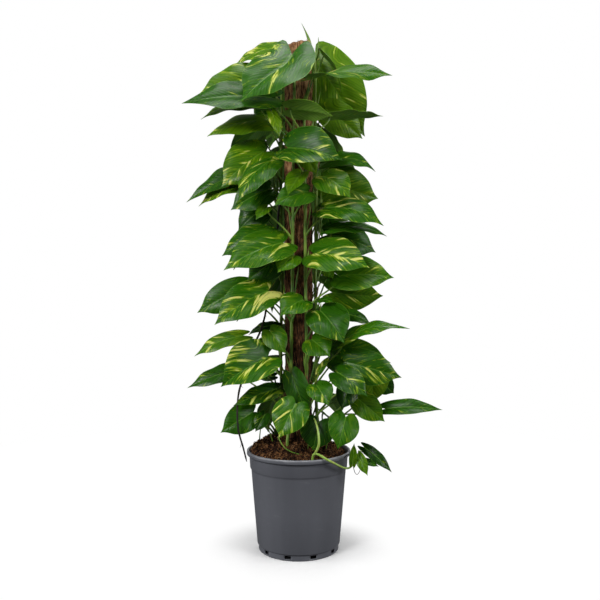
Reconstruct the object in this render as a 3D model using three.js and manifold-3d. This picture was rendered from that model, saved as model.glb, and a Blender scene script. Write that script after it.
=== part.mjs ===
// A golden pothos that climbs a coir pole in a moulded nursery pot.
// Millimetres, +Z up, origin at the middle of the pot's underside, the fullest side of the plant
// towards -Y.

import * as THREE from "three";
import { mergeVertices } from "three/addons/utils/BufferGeometryUtils.js";
import Module from "manifold-3d";

const wasm = await Module();
wasm.setup();

// Driving dimensions
const gap = 0.3; // clearance between pieces that touch
const potHeight = 230;
const lipRadius = 121.5;
const collarRadius = 115.5;
const collarFoot = 190; // height where the collar steps in to the tapering wall
const wallTopRadius = 111;
const footRadius = 93.5;
const footHeight = 12.5;
const wallThickness = 2.2;
const potFloor = 3;
const slotCount = 10;
const slotWidth = 15;
const slotHeight = 8;
const slotStart = 0.08; // where the first slot stands, as a share of the way to the next
const soilRimHeight = 221;
const soilMound = 26; // how much higher the soil stands round the pole
const soilHeap = 13; // and how much more it is heaped up on the left
const poleTop = 1194;
const sleeveRadius = 32;
const sleeveFoot = 60;
const coreRadius = 15;
const coreFoot = 20;
const coreTop = 1170;
const stemRadius = 4.2;
const stemTrack = 39.6; // how far a climbing stem's middle keeps from the pole's middle
const stemFoot = 262; // height up to which a stem stands upright
const leanEnd = 345; // height where it has come in to the pole
const footSpread = 16; // how much further out its foot stands
const stemSway = 1.2;
const tipHeight = 52; // the rolled young leaf that ends a stem
const stalkRadius = 2.1;
const bladeThickness = 0.9;
const padLength = 3.6; // where the stalk widens into the blade
const stalkSteps = 3;
const stalkDrop = 45; // how far below its blade a stalk leaves the stem
const stalkSlope = 0.55; // and how much further for each millimetre of reach
const largeBlade = 130; // a blade longer than this gets one more row of triangles
const lobeShare = 0.17; // how far the heart's lobes reach behind the junction, as a share of length
const widest = 0.28; // where along its length a blade is widest
const heelWidth = 0.84; // width across the junction, as a share of the greatest width
const plantingDepth = 38; // how deep a stem stands in the soil
const stemHoleRadius = stemRadius + 1.6;

const turnSteps = 26; // flats round the pot and the soil that fills it
const degree = Math.PI / 180;

// Climbing stems: where each leaves the soil, how it winds and how high it grows
const vines = {
  vine_front_left: { azimuth: -116, drift: 14, top: 1085, lean: [-14, -10] },
  vine_front_right: { azimuth: -62, drift: -12, top: 1042, lean: [12, -8] },
  vine_left: { azimuth: 172, drift: 18, top: 1120, lean: [-8, 10] },
  vine_right: { azimuth: -4, drift: -10, top: 1150, lean: [6, -4] },
  vine_back_left: { azimuth: 126, drift: 8, top: 1140, lean: [-6, 8] },
  vine_back_right: { azimuth: 54, drift: -8, top: 1190, lean: [-14, -4] },
};

// One row for each leaf:
// junction x, y, z, tip x, y, z, azimuth and elevation that the upper face looks to,
// width over length, fold in degrees, arch over length, twist in degrees, and for a leaf with
// deeper lobes their reach over length and the angle that they are swung to one side
const leafRows = {
  vine_front_left: [
    [-15, -74, 1130, -123, -132, 1010, -95, 30, 0.76, 4, 0.02, 0, 0.27, 30],
    [-62, -64, 1037, -256, -109, 1011, -90, 36, 0.5, 6, 0.05, 0],
    [-84, -56, 1020, -220, -70, 986, -92, 58, 0.5, -4, 0.12, 0],
    [-60, -78, 1000, -42, -88, 942, -60, 0, 0.5, 0, 0.06, 0],
    [-64, -66, 894, -131, -110, 797, -112, 30, 0.62, -14, 0.12, 0],
    [-70, -30, 835, -155, -48, 785, -90, 18, 0.76, 6, 0.08, 0],
    [21, -72, 824, -54, -106, 787, -95, 20, 0.72, 0, 0.1, 0],
    [-70, -62, 790, -95, -88, 758, -100, 20, 0.62, 8, 0.1, 0],
    [-35, -56, 710, -165, -104, 645, -92, 32, 0.64, 4, 0.1, 0],
    [-12, -60, 680, -46, -98, 640, -95, 25, 0.84, 0, 0.1, 0],
    [-70, -54, 600, -185, -104, 525, -98, 28, 0.66, 6, 0.1, 0],
    [10, -56, 580, -40, -112, 545, -96, 26, 0.84, 4, 0.1, 0],
    [-65, -50, 510, -30, -74, 460, -82, 10, 0.84, 0, 0.08, 0],
    [-70, -66, 450, -170, -114, 390, -96, 28, 0.94, 26, 0.08, 0],
    [-15, -54, 410, 18, -68, 318, -80, 0, 0.56, 0, 0.06, 0],
    [-50, -54, 378, -145, -92, 345, -92, 42, 0.46, 0, 0.05, 0],
    [-6, -94, 350, -42, -126, 280, -98, 20, 0.95, 0, 0.1, 0],
  ],
  vine_front_right: [
    [28, -64, 1082, 208, -92, 1078, -88, 62, 0.44, 4, 0.05, 70],
    [-20, -76, 1008, 76, -98, 986, 90, 58, 0.62, 0, 0.05, 0],
    [70, -30, 1004, 196, -24, 1006, 90, 80, 0.42, 0, 0.03, 0],
    [-24, -74, 921, 95, -122, 884, -92, 26, 0.84, 18, 0.08, 0],
    [8, -48, 922, 42, -52, 866, -92, 0, 0.7, 0, 0.06, 0],
    [55, -62, 860, 115, -100, 805, -80, 18, 0.86, 0, 0.12, 0],
    [6, -60, 866, -24, -104, 810, -100, 25, 0.62, 18, 0.06, 0],
    [60, -48, 790, 190, -84, 745, -88, 44, 0.62, 0, 0.14, 0],
    [35, -62, 685, 155, -114, 650, -90, 34, 0.76, 4, 0.1, 0],
    [95, -44, 635, 215, -70, 630, -90, 30, 0.76, 8, 0.08, 0],
    [46, -52, 580, 78, -80, 574, -90, 52, 0.66, 0, 0.1, 0],
    [50, -66, 555, 100, -118, 485, -86, 24, 0.95, 4, 0.12, 0],
    [30, -52, 490, 70, -98, 455, -90, 18, 1.0, 0, 0.1, 0],
    [88, -80, 418, 150, -122, 370, -82, 20, 0.7, 0, 0.1, 0],
    [45, -56, 415, 70, -66, 455, -90, 20, 0.34, 0, 0.06, 0],
    [40, -84, 390, 65, -124, 350, -86, 26, 0.95, 4, 0.1, 0],
    [115, -56, 385, 95, -84, 335, -90, 10, 0.84, 0, 0.1, 0],
    [105, -88, 320, 85, -118, 255, -86, 8, 0.94, 0, 0.1, 0],
    [46, -78, 308, 32, -91, 246, -90, 12, 1.2, 0, 0.08, 0],
  ],
  vine_left: [
    [-54, -18, 1166, -150, 30, 1146, -90, 40, 0.62, 0, 0.08, 0],
    [-75, -2, 1102, -236, -20, 1055, -90, 26, 0.62, 5, 0.06, 0],
    [-54, 12, 1060, -106, 14, 1000, -90, 8, 0.56, 0, 0.1, 0],
    [-65, -25, 996, -210, -40, 955, -90, 42, 0.52, -10, 0.1, 0],
    [-80, -16, 926, -175, -56, 836, -95, 14, 0.8, 0, 0.1, 0],
    [-87, 8, 892, -262, -12, 808, -90, 42, 0.36, 10, 0.08, 0],
    [-100, -8, 850, -235, 0, 800, -90, 40, 0.42, 14, 0.14, 0],
    [-84, 5, 795, -143, 5, 742, -95, 20, 0.9, 0, 0.1, 0],
    [-62, -34, 728, -175, -48, 680, -95, 30, 0.72, -4, 0.14, 0],
    [-50, -22, 675, -120, -18, 625, -92, 8, 0.84, 0, 0.08, 0],
    [-125, -12, 608, -236, -18, 550, -92, 18, 0.62, 0, 0.08, 0],
    [-50, -12, 520, -118, 2, 497, -90, 46, 0.4, 0, 0.16, 0],
    [-130, -14, 497, -240, -34, 450, -92, 48, 0.42, 0, 0.1, 0],
    [-135, -22, 420, -255, -40, 378, -90, 42, 0.4, 0, 0.07, 0],
    [-100, -40, 440, -70, -62, 395, -90, 10, 0.62, 0, 0.08, 0],
    [-56, 12, 400, -92, 20, 390, -90, 30, 0.6, 0, 0.1, 0],
    [-102, -56, 326, -174, -84, 284, -97, 8, 0.78, 0, 0.12, 0],
    [-76, -66, 322, -96, -84, 286, -95, 8, 0.74, 0, 0.08, 0],
    [-54, 41, 1152, -112, 60, 1082, 155, 34, 0.76, 4, 0.1, 0],
    [-81, 55, 966, -113, 86, 888, 160, 38, 0.9, 4, 0.1, 0],
    [-66, 19, 698, -104, 22, 628, 162, 28, 0.84, 4, 0.1, 0],
    [-46, 39, 502, -92, 86, 430, 140, 26, 0.9, 4, 0.1, 0],
    [-56, 41, 351, -74, 62, 256, 148, 32, 0.92, 4, 0.1, 0],
    [-65, 28, 844, -106, 62, 793, 155, 20, 0.86, 4, 0.1, 0],
    [-43, 27, 622, -63, 23, 550, 154, 36, 0.88, 4, 0.1, 0],
  ],
  vine_right: [
    [70, -16, 902, 180, -8, 880, -88, 45, 0.52, 0, 0.2, 0],
    [68, -8, 850, 188, 4, 819, -92, -2, 0.84, 0, 0.08, 0],
    [60, 12, 796, 78, 26, 752, -90, -4, 0.8, 0, 0.06, 0],
    [75, -36, 744, 201, -50, 725, -88, 56, 0.44, 0, 0.12, 0],
    [70, 4, 734, 182, 6, 692, -90, 18, 0.74, 0, 0.16, 0],
    [58, 8, 674, 82, 14, 630, -90, 0, 0.8, 0, 0.06, 0],
    [78, -14, 598, 200, 4, 590, -90, -20, 0.64, 0, 0.08, 0],
    [92, 18, 614, 134, 34, 582, -90, 4, 0.6, 0, 0.1, 0],
    [100, -30, 548, 168, -24, 523, -90, 40, 0.5, 0, 0.14, 0],
    [90, 30, 572, 125, 46, 536, -90, 24, 0.6, 0, 0.1, 0],
    [97, -62, 487, 247, -92, 516, -88, 58, 0.34, 0, 0.14, -10],
    [85, -4, 450, 215, -14, 434, -92, 8, 0.7, 8, 0.1, 0],
    [107, -52, 438, 233, -66, 405, -90, 10, 0.62, 0, 0.1, 0],
    [170, -8, 425, 175, 4, 335, -88, 0, 0.9, 0, 0.06, 0],
    [190, 22, 390, 230, 40, 355, -90, 0, 0.84, 0, 0.08, 0],
    [200, -36, 330, 325, -66, 332, -88, 38, 0.32, 8, 0.08, 0],
    [135, -44, 355, 195, -64, 305, -90, 4, 0.74, 0, 0.08, 0],
    [58, 2, 1157, 100, 12, 1068, -8, 22, 0.84, 4, 0.1, 0],
    [64, 15, 975, 106, 26, 898, 10, 18, 0.74, 4, 0.1, 0],
    [62, 28, 491, 86, 31, 406, 28, 14, 0.76, 4, 0.1, 0],
    [57, 35, 308, 92, 70, 254, 22, 26, 0.84, 4, 0.1, 0],
    [95, 13, 834, 110, 29, 780, 7, 25, 0.82, 4, 0.1, 0],
    [90, 28, 735, 102, 39, 656, 16, 25, 0.86, 4, 0.1, 0],
    [66, 39, 635, 112, 41, 580, 41, 25, 0.86, 4, 0.1, 0],
  ],
  vine_back_right: [
    [42, 60, 1163, 162, 62, 979, -92, 2, 0.66, 4, 0.05, 0],
    [66, 24, 1035, 154, 38, 968, -90, 4, 0.72, 0, 0.08, 0],
  ],
};

// Leaves at the back stand turn by turn on the two sides of their stem
const backLeaves = {
  vine_back_left: { first: 0, last: 10, middle: 121, spread: 15, top: 1092, seed: 3 },
  vine_back_right: { first: 1, last: 10, middle: 63, spread: 15, top: 1072, seed: 8 },
};
const backLeaf = {
  step: 72, // fall in height from one leaf to the next
  topLength: 188,
  shrink: 70, // how much shorter the lowest leaf is
  nearest: 62, // least distance of a junction from the pole's middle
  reach: 34,
  droop: -34, // elevation of the midrib
  ratio: 0.62,
};

const runnerPath = [
  [30, -98, 190],
  [31, -99, 228],
  [38, -106, 242],
  [64, -112, 230],
  [82, -104, 219],
  [100, -88, 207],
  [114, -76, 204],
  [125, -66, 213],
  [132, -58, 228],
];
const runnerRise = [
  [36, -104, 241],
  [44, -114, 262],
  [44, -114, 285],
  [40, -102, 305],
  [34, -88, 318],
];
const runnerRadius = 2.8;
const runnerStalkRadius = 1.5;
const runnerLeaves = [
  { from: 6, row: [120, -88, 214, 123, -96, 264, -90, 0, 0.36, 0, 0.06, 0] },
  { from: 7, row: [133, -80, 234, 153, -96, 191, -85, 0, 0.5, 0, 0.08, 0] },
  { from: 8, row: [146, -64, 218, 180, -74, 206, -85, 30, 0.44, 0, 0.08, 0] },
  { from: 8, row: [150, -50, 244, 210, -72, 192, -70, 10, 0.34, 0, 0.14, 0] },
];

const rootPath = [
  [-17.5, -38.5, 828],
  [-36, -27, 815],
  [-46, -18, 790],
  [-50, -6, 745],
  [-58, -2, 700],
  [-74, 4, 655],
  [-78, -4, 610],
  [-76, -10, 560],
  [-86, -24, 515],
  [-104, -40, 470],
  [-117, -62, 417],
  [-129, -72, 391],
  [-135, -74, 366],
  [-136, -89, 334],
  [-134, -96, 299],
  [-130, -90, 276],
  [-124, -78, 250],
  [-117, -62, 214],
];
const rootRadius = 2.2;

// Repeatable share from 0 to 1 for a whole number
function share(number) {
  const wave = Math.sin(number * 12.9898) * 43758.5453;
  return wave - Math.floor(wave);
}

function point(x, y, z) {
  return new THREE.Vector3(x, y, z);
}

function heading(azimuth, elevation) {
  const level = Math.cos(elevation * degree);
  return point(
    level * Math.cos(azimuth * degree),
    level * Math.sin(azimuth * degree),
    Math.sin(elevation * degree),
  );
}

// A closed three.js geometry as a manifold solid
function solid(geometry) {
  const bare = geometry.clone();
  bare.deleteAttribute("normal");
  bare.deleteAttribute("uv");
  const merged = mergeVertices(bare, 1e-4);
  return new wasm.Manifold(
    new wasm.Mesh({
      numProp: 3,
      vertProperties: new Float32Array(merged.attributes.position.array),
      triVerts: new Uint32Array(merged.index.array),
    }),
  );
}

// A manifold solid as a geometry with its normals
function surface(body) {
  const mesh = body.getMesh();
  const places = new Float32Array(mesh.numVert * 3);
  for (let i = 0; i < mesh.numVert; i++) {
    const start = i * mesh.numProp;
    places.set(mesh.vertProperties.subarray(start, start + 3), i * 3);
  }
  const geometry = new THREE.BufferGeometry();
  geometry.setAttribute("position", new THREE.BufferAttribute(places, 3));
  geometry.setIndex(new THREE.BufferAttribute(mesh.triVerts, 1));
  geometry.computeVertexNormals();
  return geometry;
}

// A closed tube of even thickness along a curve
function tube(curve, radius, sides, steps) {
  const section = new THREE.Shape();
  for (let i = 0; i < sides; i++) {
    const turn = (i / sides) * 2 * Math.PI;
    section[i ? "lineTo" : "moveTo"](radius * Math.cos(turn), radius * Math.sin(turn));
  }
  return solid(new THREE.ExtrudeGeometry(section, { steps, extrudePath: curve, bevelEnabled: false }));
}

// Share of the full half width of a blade at s of its length
function bladeProfile(s) {
  if (s < widest) return heelWidth + (1 - heelWidth) * Math.sin((Math.PI / 2) * (s / widest));
  const q = (s - widest) / (1 - widest);
  return (1 - q ** 2.2) * (1 - 0.28 * q ** 3);
}

// The axes and length of a leaf: along the midrib, across it and out of its upper face
function leafFrame(row) {
  const junction = point(row[0], row[1], row[2]);
  const along = point(row[3], row[4], row[5]).sub(junction);
  const length = along.length();
  along.normalize();
  const face = heading(row[6], row[7]);
  const up = face.addScaledVector(along, -face.dot(along)).normalize();
  const across = new THREE.Vector3().crossVectors(up, along);
  return { junction, along, up, across, length };
}

// A place on the middle surface of a blade: s along the midrib, c across it from -1 to 1
function bladePoint(row, frame, s, c) {
  const { junction, along, up, across, length } = frame;
  const [ratio, fold, arch, twist, lobes = lobeShare, swing = 0] = row.slice(8);
  const side = Math.abs(c);
  const lobe = Math.sin(Math.PI * side) * Math.max(0, 1 - s / 0.3) ** 2;
  const run = s - lobes * lobe;
  const out = c * 0.5 * ratio * length * bladeProfile(s);
  const turn = twist * degree * (s - 0.3);
  const lift = Math.abs(out) * Math.sin(fold * degree);
  const wide = out * Math.cos(fold * degree);
  const y = wide * Math.cos(turn) - lift * Math.sin(turn);
  const z = wide * Math.sin(turn) + lift * Math.cos(turn) + 4 * arch * length * run * (1 - run);
  const swung = swing * degree * Math.max(0, 1 - s / 0.6) ** 2;
  return junction
    .clone()
    .addScaledVector(along, run * length * Math.cos(swung) - y * Math.sin(swung))
    .addScaledVector(across, run * length * Math.sin(swung) + y * Math.cos(swung))
    .addScaledVector(up, z);
}

// The middle line of a leaf's stalk: it leaves the stem, rises and meets the blade from behind
function stalkLine(start, row, frame) {
  const reach = start.distanceTo(frame.junction);
  const outward = point(frame.junction.x, frame.junction.y, 0).normalize();
  const rise = start.clone().addScaledVector(outward, 0.22 * reach);
  rise.z += 0.38 * reach;
  const end = bladePoint(row, frame, padLength / 2 / frame.length, 0);
  const arrive = end.clone().addScaledVector(frame.up, -0.15 * reach);
  arrive.z -= 0.16 * reach;
  return new THREE.CubicBezierCurve3(start, rise, arrive, end);
}

// A leaf in one closed surface: a heart shaped blade, split alike on both faces, whose underside
// runs down into a four sided stalk
function leaf(start, row, radius) {
  const frame = leafFrame(row);
  const { length, across, up } = frame;
  const padSide = (0.8 * radius) / (0.5 * row[8] * length * bladeProfile(0));
  const heel = [-0.85, -0.45, -padSide, padSide, 0.45, 0.85];
  const rows = length > largeBlade ? [0.17, 0.38, 0.62, 0.84] : [0.2, 0.5, 0.8];
  const middle = heel.map((c) => bladePoint(row, frame, 0, c));
  for (const c of [-padSide, padSide]) middle.push(bladePoint(row, frame, padLength / length, c));
  for (const s of rows) for (const c of [-1, 0, 1]) middle.push(bladePoint(row, frame, s, c));
  middle.push(bladePoint(row, frame, 1, 0));
  const count = middle.length;
  const tip = count - 1;
  const half = up.clone().multiplyScalar(bladeThickness / 2);
  const places = [...middle.map((p) => p.clone().add(half)), ...middle.map((p) => p.clone().sub(half))];
  const [leftPad, rightPad, firstRow] = [6, 7, 8];
  const [left, rib, right] = [firstRow, firstRow + 1, firstRow + 2];
  const faces = [
    [0, 1, left],
    [1, 2, left],
    [2, leftPad, left],
    [leftPad, rib, left],
    [leftPad, rightPad, rib],
    [rightPad, right, rib],
    [3, right, rightPad],
    [3, 4, right],
    [4, 5, right],
  ];
  for (let i = 0; i < rows.length - 1; i++) {
    for (const a of [left + 3 * i, rib + 3 * i]) faces.push([a, a + 1, a + 4], [a, a + 4, a + 3]);
  }
  faces.push([tip - 3, tip - 2, tip], [tip - 2, tip - 1, tip]);
  const index = [2, rightPad, 3, 2, leftPad, rightPad];
  for (const [a, b, c] of faces) index.push(a, c, b, count + a, count + b, count + c);
  const rim = [0, 1, 2, 3, 4, 5];
  for (let i = 0; i < rows.length; i++) rim.push(right + 3 * i);
  rim.push(tip);
  for (let i = rows.length - 1; i >= 0; i--) rim.push(left + 3 * i);
  rim.forEach((a, i) => {
    const b = rim[(i + 1) % rim.length];
    index.push(a, b, count + a, b, count + b, count + a);
  });
  const line = stalkLine(start, row, frame);
  const turnAlong = (side, tangent) => side.addScaledVector(tangent, -side.dot(tangent)).normalize();
  const aside = turnAlong(across.clone(), line.getTangent(1));
  let above = [2, 3, rightPad, leftPad].map((i) => count + i);
  for (let step = stalkSteps - 1; step >= 0; step--) {
    const t = step / stalkSteps;
    const tangent = line.getTangent(t);
    turnAlong(aside, tangent);
    const ahead = new THREE.Vector3().crossVectors(aside, tangent);
    const ring = [[-1, -1], [-1, 1], [1, 1], [1, -1]].map(([u, v]) => {
      const corner = line.getPoint(t).addScaledVector(ahead, 0.85 * radius * u);
      return places.push(corner.addScaledVector(aside, 0.85 * radius * v)) - 1;
    });
    for (let k = 0; k < 4; k++) {
      const next = (k + 1) % 4;
      index.push(above[k], above[next], ring[next], above[k], ring[next], ring[k]);
    }
    above = ring;
  }
  index.push(above[0], above[1], above[2], above[0], above[2], above[3]);
  const geometry = new THREE.BufferGeometry().setFromPoints(places);
  geometry.setIndex(index);
  return solid(geometry);
}

// The middle of a climbing stem at a height: it leans in from its foot, then winds up the pole
function stemPoint(vine, z) {
  const climb = (z - 300) / 900;
  const turn = (vine.azimuth + vine.drift * climb) * degree;
  const spread = Math.max(0, Math.min(1, (leanEnd - z) / (leanEnd - stemFoot)));
  const sway = z > stemFoot ? stemSway * (1 - Math.cos((z - stemFoot) / 60)) : 0;
  const track = stemTrack + footSpread * spread * spread + sway;
  return point(track * Math.cos(turn), track * Math.sin(turn), z);
}

function stemPath(vine) {
  const foot = stemPoint(vine, stemFoot);
  const buried = soilRimHeight - plantingDepth + gap;
  const path = [buried, 216, stemFoot].map((z) => foot.clone().setZ(z));
  for (let z = 300; z < vine.top; z += 62) path.push(stemPoint(vine, z));
  path.push(stemPoint(vine, vine.top));
  return path;
}

// The rolled young leaf that ends a stem
function growingTip(vine) {
  const start = stemPoint(vine, vine.top - 8);
  const spike = new THREE.ConeGeometry(stemRadius + 0.3, tipHeight, 5);
  spike.translate(0, tipHeight / 2, 0);
  const aim = point(vine.lean[0], vine.lean[1], tipHeight).normalize();
  spike.applyQuaternion(new THREE.Quaternion().setFromUnitVectors(point(0, 1, 0), aim));
  spike.translate(start.x, start.y, start.z);
  return solid(spike);
}

// Rows for the leaves at the back, alternating along their stem
function backRows(name) {
  const { first, last, middle, spread, top, seed } = backLeaves[name];
  const rows = [];
  for (let i = first; i <= last; i++) {
    const chance = (n) => share(seed * 97 + i * 7 + n) - 0.5;
    const azimuth = middle + (i % 2 ? spread : -spread) + 12 * chance(1);
    const length = backLeaf.topLength - backLeaf.shrink * (i / last) + 26 * chance(2);
    const height = top - backLeaf.step * i;
    const out = backLeaf.nearest + backLeaf.reach * share(seed + i);
    const junction = heading(azimuth, 0).multiplyScalar(out).setZ(height);
    const dip = backLeaf.droop + 16 * chance(3);
    const tip = junction.clone().addScaledVector(heading(azimuth + 14 * chance(4), dip), length);
    const round = (value) => Math.round(value);
    rows.push([
      ...junction.toArray().map(round),
      ...tip.toArray().map(round),
      azimuth,
      70,
      backLeaf.ratio + 0.12 * chance(5),
      5,
      0.11 + 0.05 * chance(6),
      0,
    ]);
  }
  return rows;
}

// One leafy stem: the stem, its growing tip, its petioles and its blades grown together
function leafyStem(name) {
  const vine = vines[name];
  const rows = [...(leafRows[name] ?? []), ...(backLeaves[name] ? backRows(name) : [])];
  let body = tube(new THREE.CatmullRomCurve3(stemPath(vine)), stemRadius, 5, 15);
  body = body.add(growingTip(vine));
  rows.forEach((row, i) => {
    const aside = Math.hypot(row[0], row[1]) - stemTrack;
    const wanted = row[2] - stalkDrop - stalkSlope * aside;
    const lowest = stemFoot - 4 + 8 * (i % 4);
    const start = stemPoint(vine, Math.max(lowest, Math.min(wanted, vine.top - 12)));
    body = body.add(leaf(start, row, stalkRadius));
  });
  return body;
}

function points(list) {
  return list.map((p) => point(...p));
}

// The trailing shoot that rises from the soil, forks and hangs over the rim
function runnerShoot() {
  let body = tube(new THREE.CatmullRomCurve3(points(runnerPath)), runnerRadius, 5, 17);
  body = body.add(tube(new THREE.CatmullRomCurve3(points(runnerRise)), runnerRadius, 5, 12));
  for (const { from, row } of runnerLeaves) {
    body = body.add(leaf(point(...runnerPath[from]), row, runnerStalkRadius));
  }
  return body;
}

function aerialRoot() {
  return tube(new THREE.CatmullRomCurve3(points(rootPath)), rootRadius, 4, 30);
}

// The pot's wall, floor, collar and rolled lip, turned round the axis and slotted at the foot
function pot() {
  const wallFoot = footRadius + 3;
  const outer = [
    [0, 0],
    [footRadius - 1.5, 0],
    [footRadius, 1.5],
    [footRadius, footHeight],
    [wallFoot, footHeight + 2.5],
    [wallTopRadius, collarFoot - 4],
    [collarRadius - 2, collarFoot],
    [collarRadius, potHeight - 11],
    [lipRadius - 0.5, potHeight - 10],
    [lipRadius, potHeight - 8],
    [lipRadius, potHeight - 2],
    [lipRadius - 1, potHeight],
  ];
  const inner = [
    [collarRadius + 1, potHeight],
    [collarRadius - wallThickness, potHeight - 5],
    [collarRadius - 2 - wallThickness, collarFoot],
    [wallTopRadius - wallThickness, collarFoot - 4],
    [wallFoot - wallThickness, footHeight + 2.5],
    [footRadius - wallThickness, footHeight],
    [footRadius - wallThickness, potFloor],
    [0, potFloor],
  ];
  const profile = [...outer, ...inner].map(([r, z]) => new THREE.Vector2(r, z));
  let body = solid(new THREE.LatheGeometry(profile, turnSteps).rotateX(Math.PI / 2));
  for (let i = 0; i < slotCount; i++) {
    const slot = new THREE.BoxGeometry(10, slotWidth, slotHeight);
    slot.translate(footRadius - 1, 0, potFloor + 0.5 + slotHeight / 2);
    slot.rotateZ(((i + slotStart) / slotCount) * 2 * Math.PI);
    body = body.subtract(solid(slot));
  }
  return body;
}

// The soil: it fills the pot, mounds round the pole and holds a plain hole for each stem
function soil() {
  const inset = wallThickness + gap;
  const wallFoot = footRadius + 3;
  const holeRadius = sleeveRadius + 2.4 + gap;
  const profile = [
    [0, coreFoot],
    [0, potFloor + gap],
    [footRadius - inset, potFloor + gap],
    [footRadius - inset, footHeight],
    [wallFoot - inset, footHeight + 3],
    [wallTopRadius - inset, collarFoot - 4],
    [collarRadius - 2 - inset, collarFoot + 1],
    [collarRadius - inset - 0.6, soilRimHeight - 4],
    [108, soilRimHeight + 1],
    [92, soilRimHeight + 0.35 * soilMound],
    [52, soilRimHeight + 0.85 * soilMound],
    [holeRadius, soilRimHeight + soilMound],
    [holeRadius, sleeveFoot],
    [coreRadius + gap, sleeveFoot],
    [coreRadius + gap, coreFoot],
  ].map(([r, z]) => new THREE.Vector2(r, z));
  const turned = new THREE.LatheGeometry(profile.slice(1).concat(profile[0]), turnSteps);
  turned.rotateX(Math.PI / 2);
  const places = turned.attributes.position;
  for (let i = 0; i < places.count; i++) {
    const x = places.getX(i);
    const y = places.getY(i);
    const r = Math.hypot(x, y);
    const onTop = places.getZ(i) > soilRimHeight && r > holeRadius + 1;
    const lump = 2 * Math.sin(x / 11 + 1) * Math.sin(y / 13) + 1.2 * Math.sin(x / 5 - y / 7);
    const heap =
      soilHeap *
      (1 - THREE.MathUtils.smoothstep(x, -75, 10)) *
      THREE.MathUtils.smoothstep(y, -95, -20) *
      (1 - THREE.MathUtils.smoothstep(r, 96, 113));
    if (onTop) places.setZ(i, places.getZ(i) + lump + heap);
  }
  let body = solid(turned);
  const feet = Object.values(vines).map((vine) => [stemPoint(vine, stemFoot), stemHoleRadius]);
  feet.push([point(...runnerPath[0]), runnerRadius + 1.2]);
  for (const [foot, radius] of feet) {
    const hole = new THREE.CylinderGeometry(radius, radius, 100, 8).rotateX(Math.PI / 2);
    const bottom = Math.min(foot.z, soilRimHeight - plantingDepth) - gap;
    hole.translate(foot.x, foot.y, bottom + 50);
    body = body.subtract(solid(hole));
  }
  return body;
}

// The stake that stands in the soil and carries the coir
function poleCore() {
  const height = coreTop - coreFoot - gap;
  const stake = new THREE.CylinderGeometry(coreRadius, coreRadius, height, 16);
  stake.rotateX(Math.PI / 2);
  stake.translate(0, 0, coreFoot + gap + height / 2);
  return solid(stake);
}

// The coir wrap: a rough sleeve, closed over the top of the stake
function coirSleeve() {
  const inner = coreRadius + gap;
  const profile = [[inner, sleeveFoot + gap]];
  profile.unshift([inner, coreTop + gap]);
  profile.unshift([0, coreTop + gap]);
  const rows = 12;
  for (let i = 0; i <= rows; i++) {
    profile.push([sleeveRadius, sleeveFoot + gap + (i / rows) * (poleTop - 12 - sleeveFoot)]);
  }
  profile.push([0.7 * sleeveRadius, poleTop - 4]);
  profile.push([0, poleTop]);
  const outline = profile.map(([r, z]) => new THREE.Vector2(r, z));
  const wrap = new THREE.LatheGeometry(outline, 16).rotateX(Math.PI / 2);
  const places = wrap.attributes.position;
  for (let i = 0; i < places.count; i++) {
    const [x, y, z] = [places.getX(i), places.getY(i), places.getZ(i)];
    const radius = Math.hypot(x, y);
    if (radius < sleeveRadius - 1) continue;
    const turn = Math.atan2(y, x);
    const bulge = 1 + 0.035 * Math.sin(3 * turn + z / 70) + 0.03 * Math.sin(5 * turn - z / 41);
    places.setXY(i, x * bulge, y * bulge);
  }
  return solid(wrap);
}

function mesh(name, body, colour, roughness) {
  const material = new THREE.MeshStandardMaterial({ color: colour, roughness, metalness: 0 });
  const piece = new THREE.Mesh(surface(body), material);
  piece.name = name;
  return piece;
}

const plant = new THREE.Group();
plant.add(mesh("pot", pot(), "#4b4d52", 0.45));
plant.add(mesh("soil", soil(), "#3a241a", 1));
plant.add(mesh("pole_core", poleCore(), "#8a6a48", 0.8));
plant.add(mesh("coir_sleeve", coirSleeve(), "#5b3524", 1));
for (const name of Object.keys(vines)) {
  plant.add(mesh(name, leafyStem(name), "#2f7a26", 0.35));
}
plant.add(mesh("runner", runnerShoot(), "#8fb84a", 0.4));
plant.add(mesh("aerial_root", aerialRoot(), "#2b2420", 0.7));

export default plant;
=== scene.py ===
import math
import random
from functools import partial

import bmesh
import bpy
from mathutils import Matrix, Vector, noise


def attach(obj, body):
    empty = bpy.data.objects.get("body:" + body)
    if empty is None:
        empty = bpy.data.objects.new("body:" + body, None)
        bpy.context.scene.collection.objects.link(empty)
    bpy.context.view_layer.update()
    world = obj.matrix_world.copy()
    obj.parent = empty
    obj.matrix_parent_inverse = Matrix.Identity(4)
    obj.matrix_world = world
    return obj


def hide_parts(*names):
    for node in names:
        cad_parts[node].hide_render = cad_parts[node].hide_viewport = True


# A golden pothos that climbs a coir pole in a moulded nursery pot.
# Shapes are in millimetres and become metres when a piece is finished. The fullest side looks to -Y.
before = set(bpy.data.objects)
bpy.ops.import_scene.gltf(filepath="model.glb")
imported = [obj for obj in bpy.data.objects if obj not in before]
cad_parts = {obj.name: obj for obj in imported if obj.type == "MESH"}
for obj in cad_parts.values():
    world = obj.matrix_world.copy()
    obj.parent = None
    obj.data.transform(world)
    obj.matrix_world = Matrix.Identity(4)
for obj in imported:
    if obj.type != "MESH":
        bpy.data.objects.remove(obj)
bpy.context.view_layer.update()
scene = bpy.context.scene
scene.view_settings.view_transform = "Standard"  # keeps the white ground white
fullTurn = 2 * math.pi
print("frame loaded:", len(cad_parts), "solids")


def linearColour(hexText):
    parts = [int(hexText[i : i + 2], 16) / 255 for i in (1, 3, 5)]
    return tuple(p / 12.92 if p <= 0.04045 else ((p + 0.055) / 1.055) ** 2.4 for p in parts) + (1.0,)


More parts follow.
